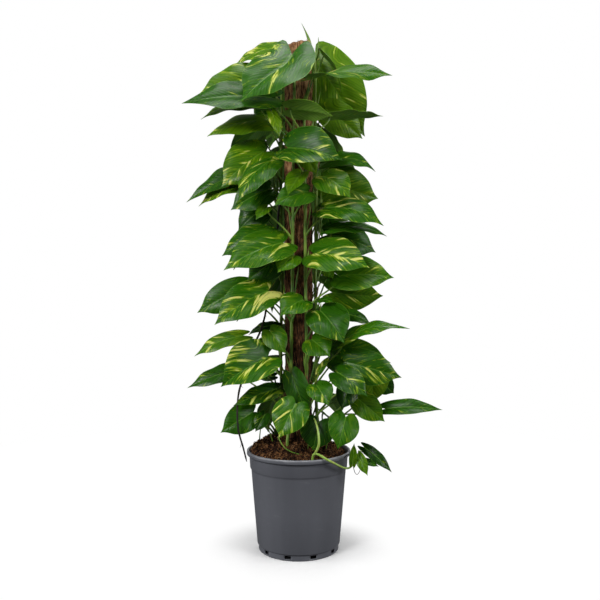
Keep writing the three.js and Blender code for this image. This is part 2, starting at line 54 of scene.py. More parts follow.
def addNode(tree, kind, inputs=(), stops=None, **settings):
    # adds one node; a kind can name its operation, as in Math.ADD, and the inputs, in order or by name,
    # take a value, a hex colour, a socket or a node
    kind, _, operation = kind.partition(".")
    node = tree.nodes.new("ShaderNode" + kind)
    if operation:
        node.operation = operation
    for name, value in settings.items():
        setattr(node, name, value)
    for name, value in inputs.items() if isinstance(inputs, dict) else enumerate(inputs):
        usable = [s for s in node.inputs if not s.is_unavailable]
        socket = usable[name] if isinstance(name, int) else node.inputs[name]
        if isinstance(value, bpy.types.Node):
            value = next(s for s in value.outputs if not s.is_unavailable)
        if isinstance(value, bpy.types.NodeSocket):
            tree.links.new(value, socket)
        else:
            socket.default_value = linearColour(value) if isinstance(value, str) else value
    if stops:  # the places and hex colours of a colour ramp
        ramp = node.color_ramp
        while len(ramp.elements) < len(stops):
            ramp.elements.new(0.5)
        for element, (place, colour) in zip(ramp.elements, stops):
            element.position = place
            element.color = linearColour(colour)
    return node


def newMaterial(name):
    # an empty material, and the function that adds nodes to it
    material = bpy.data.materials.new(name)
    material.use_nodes = True
    material.node_tree.nodes.clear()
    return material, partial(addNode, material.node_tree)


def finishPiece(name, bm, materials, replaced):
    bmesh.ops.scale(bm, vec=(0.001, 0.001, 0.001), verts=bm.verts)
    mesh = bpy.data.meshes.new(name)
    for face in bm.faces:
        face.smooth = True
    bm.to_mesh(mesh)
    bm.free()
    piece = bpy.data.objects.new(name, mesh)
    scene.collection.objects.link(piece)
    for material in materials:
        mesh.materials.append(material)
    if replaced:
        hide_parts(*replaced)
    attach(piece, "root")
    print("finished", name, len(mesh.polygons), "faces")
    return piece


scratchMesh = bpy.data.meshes.new("scratch")


def gather(whole, part):
    # moves a small shape into the mesh of its piece
    part.to_mesh(scratchMesh)
    part.free()
    whole.from_mesh(scratchMesh)


def share(number):
    # a repeatable share from 0 to 1 for a whole number
    wave = math.sin(number * 12.9898) * 43758.5453
    return wave - math.floor(wave)


def smoothStep(low, high, value):
    t = max(0.0, min(1.0, (value - low) / (high - low)))
    return t * t * (3 - 2 * t)


def heading(azimuth, elevation):
    a, e = math.radians(azimuth), math.radians(elevation)
    return Vector((math.cos(e) * math.cos(a), math.cos(e) * math.sin(a), math.sin(e)))


def smoothLine(points, steps):
    # a soft curve through every point, by the Catmull-Rom rule
    points = [Vector(p) for p in points]
    padded = [2 * points[0] - points[1]] + points + [2 * points[-1] - points[-2]]
    line = []
    for i in range(1, len(padded) - 2):
        a, b, c, d = padded[i - 1 : i + 3]
        for k in range(steps):
            t = k / steps
            bend, turn = 2 * a - 5 * b + 4 * c - d, 3 * b - a - 3 * c + d
            line.append(0.5 * (2 * b + (c - a) * t + bend * t * t + turn * t**3))
    line.append(points[-1])
    return line


def growTube(line, radii, sides):
    # a circle drawn out ring by ring along a line, closed at both ends
    bm = bmesh.new()
    ring = bmesh.ops.create_circle(bm, cap_ends=True, radius=1, segments=sides)["verts"]
    edges = list(bm.edges)
    before = Matrix.Identity(4)
    side = None
    last = len(line) - 1
    for i, place in enumerate(line):
        ahead = (line[min(i + 1, last)] - line[max(i - 1, 0)]).normalized()
        side = ahead.orthogonal() if side is None else side - ahead * side.dot(ahead)
        side.normalize()
        here = Matrix((side, ahead.cross(side), ahead)).transposed().to_4x4()
        here = Matrix.Translation(place) @ here @ Matrix.Scale(max(radii[i], 0.05), 4)
        if i:
            made = bmesh.ops.extrude_edge_only(bm, edges=edges)["geom"]
            ring = [g for g in made if isinstance(g, bmesh.types.BMVert)]
            fresh = set(ring)
            edges = [g for g in made if isinstance(g, bmesh.types.BMEdge) and set(g.verts) <= fresh]
        bmesh.ops.transform(bm, matrix=here @ before.inverted(), verts=ring)
        before = here
    bmesh.ops.edgeloop_fill(bm, edges=edges)
    bmesh.ops.recalc_face_normals(bm, faces=bm.faces)
    return bm


def taper(line, thick, thin):
    # radii that shrink evenly along a line
    return [thick + (thin - thick) * i / len(line) for i in range(len(line))]


def spunProfile(profile, steps, startTurn=0.0):
    # a profile of radius and height turned once round the upright axis
    bm = bmesh.new()
    points = [bm.verts.new((r * math.cos(startTurn), r * math.sin(startTurn), z)) for r, z in profile]
    for a, b in zip(points, points[1:]):
        bm.edges.new((a, b))
    turned = bm.verts[:] + bm.edges[:]
    about = {"axis": (0, 0, 1), "cent": (0, 0, 0), "angle": fullTurn}
    bmesh.ops.spin(bm, geom=turned, steps=steps, use_merge=True, **about)
    bmesh.ops.remove_doubles(bm, verts=bm.verts, dist=0.01)
    bmesh.ops.recalc_face_normals(bm, faces=bm.faces)
    return bm


# Camera, lights and ground
view = {"place": (0.0033, -1.6, 0.58), "lens": 40.8}
camera = bpy.data.objects.new("camera", bpy.data.cameras.new("camera"))
camera.location = view["place"]
camera.rotation_euler = (math.radians(90), 0, 0)
camera.data.lens = view["lens"]
camera.data.sensor_width = 36
scene.collection.objects.link(camera)
scene.camera = camera

lamps = {  # name: place, size, power, aimed at
    "softboxLeft": ((-2.3, -2.8, 2.7), 1.5, 104, (0, 0, 0.6)),
    "softboxRight": ((2.7, -1.9, 1.9), 1.5, 42, (0, 0, 0.5)),
    "softboxTop": ((0.1, -0.7, 4.6), 1.9, 70, (0, 0, 0.5)),
    "stripLeft": ((-2.6, -0.2, 0.7), 1.2, 21, (0, 0, 0.3)),
    "stripRight": ((2.6, -0.2, 0.7), 1.2, 14, (0, 0, 0.3)),
    "softboxBack": ((0.4, 3.0, 2.2), 1.8, 26, (0, 0, 0.6)),
}
for name, (place, size, power, target) in lamps.items():
    lamp = bpy.data.objects.new(name, bpy.data.lights.new(name, "AREA"))
    lamp.data.shape = "DISK"
    lamp.data.size = size
    lamp.data.energy = power
    lamp.location = place
    lamp.rotation_euler = (Vector(target) - Vector(place)).to_track_quat("-Z", "Y").to_euler()
    scene.collection.objects.link(lamp)

surround = {"seen": 1.0, "above": 0.17, "below": 0.09}
world = bpy.data.worlds.new("studio")
scene.world = world
world.use_nodes = True
world.node_tree.nodes.clear()
add = partial(addNode, world.node_tree)
aim = add("SeparateXYZ", (add("TexCoord"),))
fill = add("MapRange", (aim.outputs[2], -0.25, 0.25, surround["below"], surround["above"]))
path = add("LightPath")
strength = add("Mix", (path.outputs["Is Camera Ray"], fill, surround["seen"]))
add("OutputWorld", (add("Background", ("#ffffff", strength)),))

sweep = {"radius": 1.6, "fadeStart": 0.09, "fadeEnd": 0.24, "glow": 0.1, "greys": ("#e6e6e6", "#ececec")}
groundBuild = bmesh.new()
bmesh.ops.create_circle(groundBuild, cap_ends=True, radius=sweep["radius"], segments=96)
groundMesh = bpy.data.meshes.new("ground")
groundBuild.to_mesh(groundMesh)
groundBuild.free()
ground = bpy.data.objects.new("ground", groundMesh)
ground.location.z = -0.0002
ground.visible_diffuse = False
ground.visible_glossy = False
scene.collection.objects.link(ground)
paper, add = newMaterial("mattWhitePaper")  # lit seamless paper: white, it takes only a faint soft shadow
where = add("TexCoord").outputs["Object"]
fleck = add("TexNoise", {"Vector": where, "Scale": 60.0, "Detail": 2.0})
tint = add("Mix", (fleck, *sweep["greys"]), data_type="RGBA")
away = add("VectorMath.LENGTH", (where,)).outputs["Value"]
span = (away, sweep["fadeStart"], sweep["fadeEnd"])
fade = add("MapRange", span, interpolation_type="SMOOTHSTEP")
base = add("Mix", (fade, tint, "#000000"), data_type="RGBA")
glow = add("MapRange", (fade, 0.0, 1.0, sweep["glow"], 1.0))
surface = add("BsdfPrincipled", {
    "Base Color": base, "Roughness": 0.9, "Specular IOR Level": 0.1,
    "Emission Color": "#ffffff", "Emission Strength": glow,
})
add("OutputMaterial", (surface,))
groundMesh.materials.append(paper)
print("studio ready")


# Leaves. Each row: junction, tip, azimuth and elevation that the upper face looks to, width over
# length, fold, arch, share of cream and tone from dark (-1) to sunlit yellow green (1); the tone is partly
# the leaf's own green and partly painted light and shade. A few leaves add a twist, or deeper lobes with
# the angle that they are swung to one side
leafRows = {}
leafRows["vine_front_left"] = [
    (-15, -74, 1130, -123, -132, 1010, -95, 30, 0.76, 4, 0.02, 0.42, -0.15, {"lobes": 0.27, "swing": 30}),
    (-62, -64, 1037, -256, -109, 1011, -90, 36, 0.5, 6, 0.05, 0.05, -0.3),
    (-84, -56, 1020, -220, -70, 986, -92, 58, 0.5, -4, 0.12, 0.2, 0.3),
    (-60, -78, 1000, -42, -88, 942, -60, 0, 0.5, 0, 0.06, 0.5, 0.5),
    (-64, -66, 894, -131, -110, 797, -112, 30, 0.62, -14, 0.12, 0.4, -0.1),
    (-70, -30, 835, -155, -48, 785, -90, 18, 0.76, 6, 0.08, 0.15, -0.2),
    (21, -72, 824, -54, -106, 787, -95, 20, 0.72, 0, 0.1, 0.05, 0),
    (-70, -62, 790, -95, -88, 758, -100, 20, 0.62, 8, 0.1, 0.3, 0.2),
    (-35, -56, 710, -165, -104, 645, -92, 32, 0.64, 4, 0.1, 0.5, 0.1),
    (-12, -60, 680, -46, -98, 640, -95, 25, 0.84, 0, 0.1, 0.3, 0.3),
    (-70, -54, 600, -185, -104, 525, -98, 28, 0.66, 6, 0.1, 0.6, 0.1),
    (10, -56, 580, -40, -112, 545, -96, 26, 0.84, 4, 0.1, 0.45, 0.2),
    (-65, -50, 510, -30, -74, 460, -82, 10, 0.84, 0, 0.08, 0.4, 0.3),
    (-70, -66, 450, -170, -114, 390, -96, 28, 0.94, 26, 0.08, 0.6, 0),
    (-15, -54, 410, 18, -68, 318, -80, 0, 0.56, 0, 0.06, 0, -0.1),
    (-50, -54, 378, -145, -92, 345, -92, 42, 0.46, 0, 0.05, 0.35, -0.3),
    (-6, -94, 350, -42, -126, 280, -98, 20, 0.95, 0, 0.1, 0.5, 0.2),
]
leafRows["vine_front_right"] = [
    (28, -64, 1082, 208, -92, 1078, -88, 62, 0.44, 4, 0.05, 0.35, 0, {"twist": 70}),
    (-20, -76, 1008, 76, -98, 986, 90, 58, 0.62, 0, 0.05, 0, 0.8),
    (70, -30, 1004, 196, -24, 1006, 90, 80, 0.42, 0, 0.03, 0.1, 0.7),
    (-24, -74, 921, 95, -122, 884, -92, 26, 0.84, 18, 0.08, 0.4, -0.4),
    (8, -48, 922, 42, -52, 866, -92, 0, 0.7, 0, 0.06, 0, 0.4),
    (55, -62, 860, 115, -100, 805, -80, 18, 0.86, 0, 0.12, 0.6, 0.1),
    (6, -60, 866, -24, -104, 810, -100, 25, 0.62, 18, 0.06, 0.05, 0.3),
    (60, -48, 790, 190, -84, 745, -88, 44, 0.62, 0, 0.14, 0.55, -0.15),
    (35, -62, 685, 155, -114, 650, -90, 34, 0.76, 4, 0.1, 0.7, 0.1),
    (95, -44, 635, 215, -70, 630, -90, 30, 0.76, 8, 0.08, 0.25, 0.2),
    (46, -52, 580, 78, -80, 574, -90, 52, 0.66, 0, 0.1, 0, -0.1),
    (50, -66, 555, 100, -118, 485, -86, 24, 0.95, 4, 0.12, 0.15, -0.1),
    (30, -52, 490, 70, -98, 455, -90, 18, 1, 0, 0.1, 0.1, 0.2),
    (88, -80, 418, 150, -122, 370, -82, 20, 0.7, 0, 0.1, 0.45, -0.2),
    (45, -56, 415, 70, -66, 455, -90, 20, 0.34, 0, 0.06, 0.9, 0.2),
    (40, -84, 390, 65, -124, 350, -86, 26, 0.95, 4, 0.1, 0.25, 0.1),
    (115, -56, 385, 95, -84, 335, -90, 10, 0.84, 0, 0.1, 0.05, -0.6),
    (105, -88, 320, 85, -118, 255, -86, 8, 0.94, 0, 0.1, 0, 0.2),
    (46, -78, 308, 32, -91, 246, -90, 12, 1.2, 0, 0.08, 0.05, -0.3),
]
leafRows["vine_left"] = [
    (-54, -18, 1166, -150, 30, 1146, -90, 40, 0.62, 0, 0.08, 0.75, 0.2),
    (-75, -2, 1102, -236, -20, 1055, -90, 26, 0.62, 5, 0.06, 0.6, 0.2),
    (-54, 12, 1060, -106, 14, 1000, -90, 8, 0.56, 0, 0.1, 0.3, -0.4),
    (-65, -25, 996, -210, -40, 955, -90, 42, 0.52, -10, 0.1, 0.25, 0.4),
    (-80, -16, 926, -175, -56, 836, -95, 14, 0.8, 0, 0.1, 0.45, 0.2),
    (-87, 8, 892, -262, -12, 808, -90, 42, 0.36, 10, 0.08, 0.1, -0.3),
    (-100, -8, 850, -235, 0, 800, -90, 40, 0.42, 14, 0.14, 0.7, 0.3),
    (-84, 5, 795, -143, 5, 742, -95, 20, 0.9, 0, 0.1, 0.05, -0.4),
    (-62, -34, 728, -175, -48, 680, -95, 30, 0.72, -4, 0.14, 0.35, -0.1),
    (-50, -22, 675, -120, -18, 625, -92, 8, 0.84, 0, 0.08, 0.1, -0.3),
    (-125, -12, 608, -236, -18, 550, -92, 18, 0.62, 0, 0.08, 0.2, 0.1),
    (-50, -12, 520, -118, 2, 497, -90, 46, 0.4, 0, 0.16, 0.1, -0.6),
    (-130, -14, 497, -240, -34, 450, -92, 48, 0.42, 0, 0.1, 0.5, 0.3),
    (-135, -22, 420, -255, -40, 378, -90, 42, 0.4, 0, 0.07, 0.1, -0.1),
    (-100, -40, 440, -70, -62, 395, -90, 10, 0.62, 0, 0.08, 0.05, 0.1),
    (-56, 12, 400, -92, 20, 390, -90, 30, 0.6, 0, 0.1, 0.05, -0.7),
    (-102, -56, 326, -174, -84, 284, -97, 8, 0.78, 0, 0.12, 0.05, 0.1),
    (-76, -66, 322, -96, -84, 286, -95, 8, 0.74, 0, 0.08, 0.05, -0.3),
    (-54, 41, 1152, -112, 60, 1082, 155, 34, 0.76, 4, 0.1, 0.2, 0.1),
    (-81, 55, 966, -113, 86, 888, 160, 38, 0.9, 4, 0.1, 0.35, 0),
    (-66, 19, 698, -104, 22, 628, 162, 28, 0.84, 4, 0.1, 0.1, -0.1),
    (-46, 39, 502, -92, 86, 430, 140, 26, 0.9, 4, 0.1, 0.45, 0.1),
    (-56, 41, 351, -74, 62, 256, 148, 32, 0.92, 4, 0.1, 0.2, -0.1),
    (-65, 28, 844, -106, 62, 793, 155, 20, 0.86, 4, 0.1, 0.15, 0.2),
    (-43, 27, 622, -63, 23, 550, 154, 36, 0.88, 4, 0.1, 0.4, 0),
]
leafRows["vine_right"] = [
    (70, -16, 902, 180, -8, 880, -88, 45, 0.52, 0, 0.2, 0.2, -0.2),
    (68, -8, 850, 188, 4, 819, -92, -2, 0.84, 0, 0.08, 0.35, 0.2),
    (60, 12, 796, 78, 26, 752, -90, -4, 0.8, 0, 0.06, 0, -0.2),
    (75, -36, 744, 201, -50, 725, -88, 56, 0.44, 0, 0.12, 0.05, -0.2),
    (70, 4, 734, 182, 6, 692, -90, 18, 0.74, 0, 0.16, 0.05, -0.2),
    (58, 8, 674, 82, 14, 630, -90, 0, 0.8, 0, 0.06, 0.6, 0.2),
    (78, -14, 598, 200, 4, 590, -90, -20, 0.64, 0, 0.08, 0.35, 0.3),
    (92, 18, 614, 134, 34, 582, -90, 4, 0.6, 0, 0.1, 0.1, -0.3),
    (100, -30, 548, 168, -24, 523, -90, 40, 0.5, 0, 0.14, 0.05, -0.3),
    (90, 30, 572, 125, 46, 536, -90, 24, 0.6, 0, 0.1, 0.05, -0.4),
    (97, -62, 487, 247, -92, 516, -88, 58, 0.34, 0, 0.14, 0.1, 0.2, {"twist": -10}),
    (85, -4, 450, 215, -14, 434, -92, 8, 0.7, 8, 0.1, 0.1, 0.2),
    (107, -52, 438, 233, -66, 405, -90, 10, 0.62, 0, 0.1, 0.45, 0.05),
    (170, -8, 425, 175, 4, 335, -88, 0, 0.9, 0, 0.06, 0.2, 0.6),
    (190, 22, 390, 230, 40, 355, -90, 0, 0.84, 0, 0.08, 0.1, -0.4),
    (200, -36, 330, 325, -66, 332, -88, 38, 0.32, 8, 0.08, 0.05, -0.1),
    (135, -44, 355, 195, -64, 305, -90, 4, 0.74, 0, 0.08, 0.3, 0.4),
    (58, 2, 1157, 100, 12, 1068, -8, 22, 0.84, 4, 0.1, 0.2, 0.2),
    (64, 15, 975, 106, 26, 898, 10, 18, 0.74, 4, 0.1, 0.4, 0),
    (62, 28, 491, 86, 31, 406, 28, 14, 0.76, 4, 0.1, 0.15, 0),
    (57, 35, 308, 92, 70, 254, 22, 26, 0.84, 4, 0.1, 0.35, 0.1),
    (95, 13, 834, 110, 29, 780, 7, 25, 0.82, 4, 0.1, 0.3, 0.1),
    (90, 28, 735, 102, 39, 656, 16, 25, 0.86, 4, 0.1, 0.15, 0),
    (66, 39, 635, 112, 41, 580, 41, 25, 0.86, 4, 0.1, 0.45, 0.1),
]
leafRows["vine_back_right"] = [
    (42, 60, 1163, 162, 62, 979, -92, 2, 0.66, 4, 0.05, 0.36, 0.35),
    (66, 24, 1035, 154, 38, 968, -90, 4, 0.72, 0, 0.08, 0.1, 0.4),
]

bladeForm = {
    "lobeShare": 0.17,  # how far the heart's lobes reach behind the junction
    "widest": 0.28,
    "heelWidth": 0.84,
    "thickness": 0.7,
    "columns": 14,
    "rows": 22,
    "crown": 0.07,  # how far each half bulges between midrib and margin
    "channel": 1.1,  # depth of the groove over the midrib
    "ripple": 0.013,  # height of the waves of the margin, as a share of the length
    "lobeEnd": 0.3,  # the share of the length that the lobes shape
    "swingEnd": 0.6,  # and the share that a swing to one side bends
    "dripTip": 0.5,  # how strongly the last quarter narrows to its long point
    "veinLean": (-0.5, 1.4),  # how far the side veins lean back in the lobes and to the tip in the blade
    "veinCurve": 1.1,
    "shadedHeights": (950, 450),  # the lower leaves are painted darker: painted shade for the foliage lower down
    "lowLeafShade": 0.12,
    "toneSpan": (0.54, 0.5),  # the shade of a tone of 0, and how much a tone of 1 adds to it
}


def bladeProfile(s):
    widest, heel = bladeForm["widest"], bladeForm["heelWidth"]
    if s < widest:
        return heel + (1 - heel) * math.sin(math.pi / 2 * s / widest)
    q = (s - widest) / (1 - widest)
    return (1 - q**2.2) * (1 - 0.28 * q**3) * (1 - bladeForm["dripTip"] * smoothStep(0.62, 1.0, q))


def readLeaf(row):
    junction = Vector(row[0:3])
    along = Vector(row[3:6]) - junction
    length = along.length
    along.normalize()
    face = heading(row[6], row[7])
    up = (face - along * face.dot(along)).normalized()
    leaf = {"junction": junction, "along": along, "up": up, "across": up.cross(along), "length": length}
    leaf["seed"] = share(row[0] * 0.37 + row[2] * 0.11 + row[3] * 0.73)
    leaf.update(twist=0, lobes=bladeForm["lobeShare"], swing=0)
    leaf.update(zip(("ratio", "fold", "arch", "cream", "tone"), row[8:13]))
    leaf.update(*row[13:])
    return leaf


def bladePlace(leaf, s, c):
    # a place on a blade: s along its midrib, c across it; also its run and its distance from the midrib
    side, length = abs(c), leaf["length"]
    lobe = math.sin(math.pi * side) * max(0.0, 1 - s / bladeForm["lobeEnd"]) ** 2
    run = s - leaf["lobes"] * lobe
    half = 0.5 * leaf["ratio"] * length * bladeProfile(s)
    out = c * half
    turn = math.radians(leaf["twist"]) * (s - 0.3)
    lift = abs(out) * math.sin(math.radians(leaf["fold"]))
    wide = out * math.cos(math.radians(leaf["fold"]))
    phase = 6.3 * leaf["seed"] + (2.1 if c > 0 else 0)
    wave = math.sin(6.3 * run * (1.6 + leaf["seed"]) + phase) + 0.5 * math.sin(17 * run + 2 * phase)
    calm = min(1.0, 4 * (1 - s)) * min(1.0, 0.3 + 3 * s)  # the margin lies calmer at both ends
    lift += bladeForm["crown"] * half * math.sin(math.pi * min(1.0, side * 1.05))
    lift += bladeForm["ripple"] * length * side**2.5 * wave * calm
    lift -= bladeForm["channel"] * math.exp(-((out / 2.2) ** 2)) * min(1.0, 6 * s) * (1 - s)
    y = wide * math.cos(turn) - lift * math.sin(turn)
    z = wide * math.sin(turn) + lift * math.cos(turn) + 4 * leaf["arch"] * length * run * (1 - run)
    swung = math.radians(leaf["swing"]) * max(0.0, 1 - s / bladeForm["swingEnd"]) ** 2
    ahead = run * length * math.cos(swung) - y * math.sin(swung)
    aside = run * length * math.sin(swung) + y * math.cos(swung)
    place = leaf["junction"] + leaf["along"] * ahead + leaf["across"] * aside + leaf["up"] * z
    return place, run, out


def growBlade(bm, leaf):
    # a sheet of squares bent into a heart, with its side veins laid out in its map
    maps, colours = bm.loops.layers.uv, bm.loops.layers.float_color
    veinPlan = maps.get("veinPlan") or maps.new("veinPlan")
    bladePlan = maps.get("bladePlan") or maps.new("bladePlan")
    natureAndShade = colours.get("leafNatureAndShade") or colours.new("leafNatureAndShade")
    columns, rows = bladeForm["columns"], bladeForm["rows"]
    back, forward = bladeForm["veinLean"]
    sheet = bmesh.ops.create_grid(bm, x_segments=columns, y_segments=rows, size=1)["verts"]
    length, places = leaf["length"], {}
    for vert in sheet:
        x, s = -vert.co.x, (vert.co.y + 1) / 2
        c = math.copysign(abs(x) ** 1.15, x)
        place, run, out = bladePlace(leaf, s, c)
        reach = abs(out) / length
        lean = back + (forward - back) * smoothStep(-0.12, 0.16, run)
        vein = run - lean * reach - bladeForm["veinCurve"] * reach * reach
        places[vert] = (place, vein, out, c, s)
    # painted light and shade: the leaf's tone, partly its own green, lifts a leaf towards sunlit yellow
    # green or sinks it to dark green
    middle, span = bladeForm["toneSpan"]
    # painted shade: leaves lower on the plant are painted darker
    lowShadeShare = smoothStep(*bladeForm["shadedHeights"], leaf["junction"].z)
    shade = middle + span * leaf["tone"] - bladeForm["lowLeafShade"] * lowShadeShare
    colour = (leaf["cream"], shade, leaf["seed"], 1.0)
    faces = {face for vert in sheet for face in vert.link_faces}
    for face in faces:
        for loop in face.loops:
            _, vein, out, c, s = places[loop.vert]
            loop[veinPlan].uv = (vein * length * 0.001, out * 0.001)
            loop[bladePlan].uv = (c, s)
            loop[natureAndShade] = colour
    for vert, found in places.items():
        vert.co = found[0]
    for edge in {e for f in faces for e in f.edges}:
        edge.smooth = not edge.is_boundary
    bmesh.ops.remove_doubles(bm, verts=sheet, dist=0.01)


stalkForm = {"foot": 2.9, "middle": 1.9, "neck": 1.7, "heel": 2.1, "steps": 12, "sides": 8}
stalkCurve = {"out": 0.22, "rise": 0.38, "below": 0.15, "drop": 0.16}  # shares of its reach


def stalkLine(start, leaf, steps):
    # a stalk leaves the stem, rises and meets its blade from below
    reach = (start - leaf["junction"]).length
    outward = Vector((leaf["junction"].x, leaf["junction"].y, 0)).normalized()
    rise = start + outward * stalkCurve["out"] * reach + Vector((0, 0, stalkCurve["rise"] * reach))
    end = bladePlace(leaf, 1.8 / leaf["length"], 0)[0]
    arrive = end - leaf["up"] * stalkCurve["below"] * reach
    arrive.z -= stalkCurve["drop"] * reach
    line = []
    for i in range(steps + 1):
        t = i / steps
        u = 1 - t
        line.append(start * u**3 + rise * 3 * u * u * t + arrive * 3 * u * t * t + end * t**3)
    return line


def growStalk(whole, start, leaf, form=stalkForm):
    line = stalkLine(start, leaf, form["steps"])
    radii = []
    for i in range(len(line)):
        t = i / form["steps"]
        radius = form["foot"] + (form["middle"] - form["foot"]) * smoothStep(0, 0.35, t)
        radius += (form["neck"] - form["middle"]) * smoothStep(0.4, 0.9, t)
        radius += (form["heel"] - form["neck"]) * smoothStep(0.86, 0.95, t)
        radii.append(radius)
    gather(whole, growTube(line, radii, form["sides"]))


# Climbing stems
vines = {
    "vine_front_left": {"azimuth": -116, "drift": 14, "top": 1085, "lean": (-14, -10)},
    "vine_front_right": {"azimuth": -62, "drift": -12, "top": 1042, "lean": (12, -8)},
    "vine_left": {"azimuth": 172, "drift": 18, "top": 1120, "lean": (-8, 10)},
    "vine_right": {"azimuth": -4, "drift": -10, "top": 1150, "lean": (6, -4)},
    "vine_back_left": {"azimuth": 126, "drift": 8, "top": 1140, "lean": (-6, 8)},
    "vine_back_right": {
        "azimuth": 54, "drift": -8, "top": 1190, "lean": (-14, -4),
        "curl": (-9, -8, 7),  # its rolled leaf bends over to the left
    },
}
stemForm = {
    "radius": 4.2,
    "track": 39.6,  # from the middle of the pole
    "trackStep": 62,  # between the places that a stem is drawn through
    "foot": 262,
    "leanEnd": 345,  # below this a stem leans away from the pole
    "spread": 16,
    "sway": 1.2,
    "buried": 190,
    "nodeStep": 52,  # from one leaf scar to the next
    "nodeSwell": 0.9,
    "tipHeight": 52,
    "tipSteps": 14,
    "tipRadius": 4.1,
    "stalkDrop": 45,
    "stalkSlope": 0.55,
}


def stemPoint(vine, z):
    turn = math.radians(vine["azimuth"] + vine["drift"] * (z - 300) / 900)
    spread = max(0.0, min(1.0, (stemForm["leanEnd"] - z) / (stemForm["leanEnd"] - stemForm["foot"])))
    sway = stemForm["sway"] * (1 - math.cos((z - stemForm["foot"]) / 60)) if z > stemForm["foot"] else 0
    track = stemForm["track"] + stemForm["spread"] * spread * spread + sway
    return Vector((track * math.cos(turn), track * math.sin(turn), z))


def growStem(whole, name, vine):
    foot = stemPoint(vine, stemForm["foot"])
    points = [Vector((foot.x, foot.y, z)) for z in (stemForm["buried"], 216, stemForm["foot"])]
    z = 300
    while z < vine["top"]:
        points.append(stemPoint(vine, z))
        z += stemForm["trackStep"]
    points.append(stemPoint(vine, vine["top"]))
    line = smoothLine(points, 8)
    radii = []
    for place in line:
        beat = ((place.z + 20 * share(len(name))) % stemForm["nodeStep"]) / stemForm["nodeStep"]
        swell = stemForm["nodeSwell"] * math.exp(-(((beat - 0.5) / 0.07) ** 2))
        radii.append(stemForm["radius"] - 0.5 + swell - 0.8 * smoothStep(700, 1190, place.z))
    gather(whole, growTube(line, radii, 10))


def growTip(whole, vine):
    # the rolled young leaf that ends a stem
    start = stemPoint(vine, vine["top"] - 8)
    aim = Vector((vine["lean"][0], vine["lean"][1], stemForm["tipHeight"])).normalized()
    line, radii = [], []
    for i in range(stemForm["tipSteps"] + 1):
        t = i / stemForm["tipSteps"]
        bend = aim.orthogonal() * 2.2 * math.sin(math.pi * t)
        curl = Vector(vine.get("curl", (0, 0, 0))) * t * t
        line.append(start + aim * stemForm["tipHeight"] * t + bend + curl)
        belly = 0.78 + 0.3 * math.sin(math.pi * min(1, 1.3 * t))
        radii.append(0.25 + stemForm["tipRadius"] * (1 - t**1.5) * belly)
    gather(whole, growTube(line, radii, 10))


# Leaves at the back stand turn by turn on the two sides of their stem
backLeaves = {
    "vine_back_left": {"first": 0, "last": 10, "middle": 121, "spread": 15, "top": 1092, "seed": 3},
    "vine_back_right": {"first": 1, "last": 10, "middle": 63, "spread": 15, "top": 1072, "seed": 8},
}
backLeaf = {
    "step": 72,  # from one leaf down to the next
    "topLength": 188,
    "shrink": 70,  # how much shorter the lowest one is
    "nearest": 62,
    "reach": 34,
    "droop": -34,
    "ratio": 0.62,
}


def backRows(name):
    place, rows = backLeaves[name], []
    for i in range(place["first"], place["last"] + 1):
        off = [share(place["seed"] * 97 + i * 7 + n) - 0.5 for n in range(9)]  # small chances
        azimuth = place["middle"] + (place["spread"] if i % 2 else -place["spread"]) + 12 * off[1]
        length = backLeaf["topLength"] - backLeaf["shrink"] * i / place["last"] + 26 * off[2]
        out = backLeaf["nearest"] + backLeaf["reach"] * share(place["seed"] + i)
        junction = heading(azimuth, 0) * out
        junction.z = place["top"] - backLeaf["step"] * i
        tip = junction + heading(azimuth + 14 * off[4], backLeaf["droop"] + 16 * off[3]) * length
        shape = (azimuth, 70, backLeaf["ratio"] + 0.12 * off[5], 5, 0.11 + 0.05 * off[6])
        tones = (0.12 + 0.5 * max(0, off[7]), 0.5 * off[8])
        rows.append(tuple(math.floor(v + 0.5) for v in (*junction, *tip)) + shape + tones)
    return rows


# Plant materials
leafLook = {
    "darkGreen": "#133604",
    "midGreen": "#2f6508",
    "sunlitGreen": "#73990c",
    "paleRib": "#7fae42",
    "flecks": "#93ad22",
    "cream": "#d3d672",
    "underside": "#7aa24e",
    "patterns": {  # metres along the side veins and across them, shift and detail
        "patches": (0.03, 0.021, 19.0, 1.0),
        "splashes": (0.026, 0.0075, 0.0, 2.0),
        "feathers": (0.016, 0.0028, 57.0, 2.0),
        "speckles": (0.008, 0.0026, 83.0, 2.0),
        "mottle": (0.03, 0.009, 31.0, 2.0),
        "pucker": (0.02, 0.003, 47.0, 2.0),
    },
    "weights": (0.9, 0.45, 0.18),  # how much patches, splashes and feathers count
    "dotsFrom": (1.11, 1.16),
    "fleckedFrom": (0.97, 1.05),
    "creamFrom": (1.045, 1.07),
    "veinSpacing": 0.0125,
    "gloss": 0.3,
}


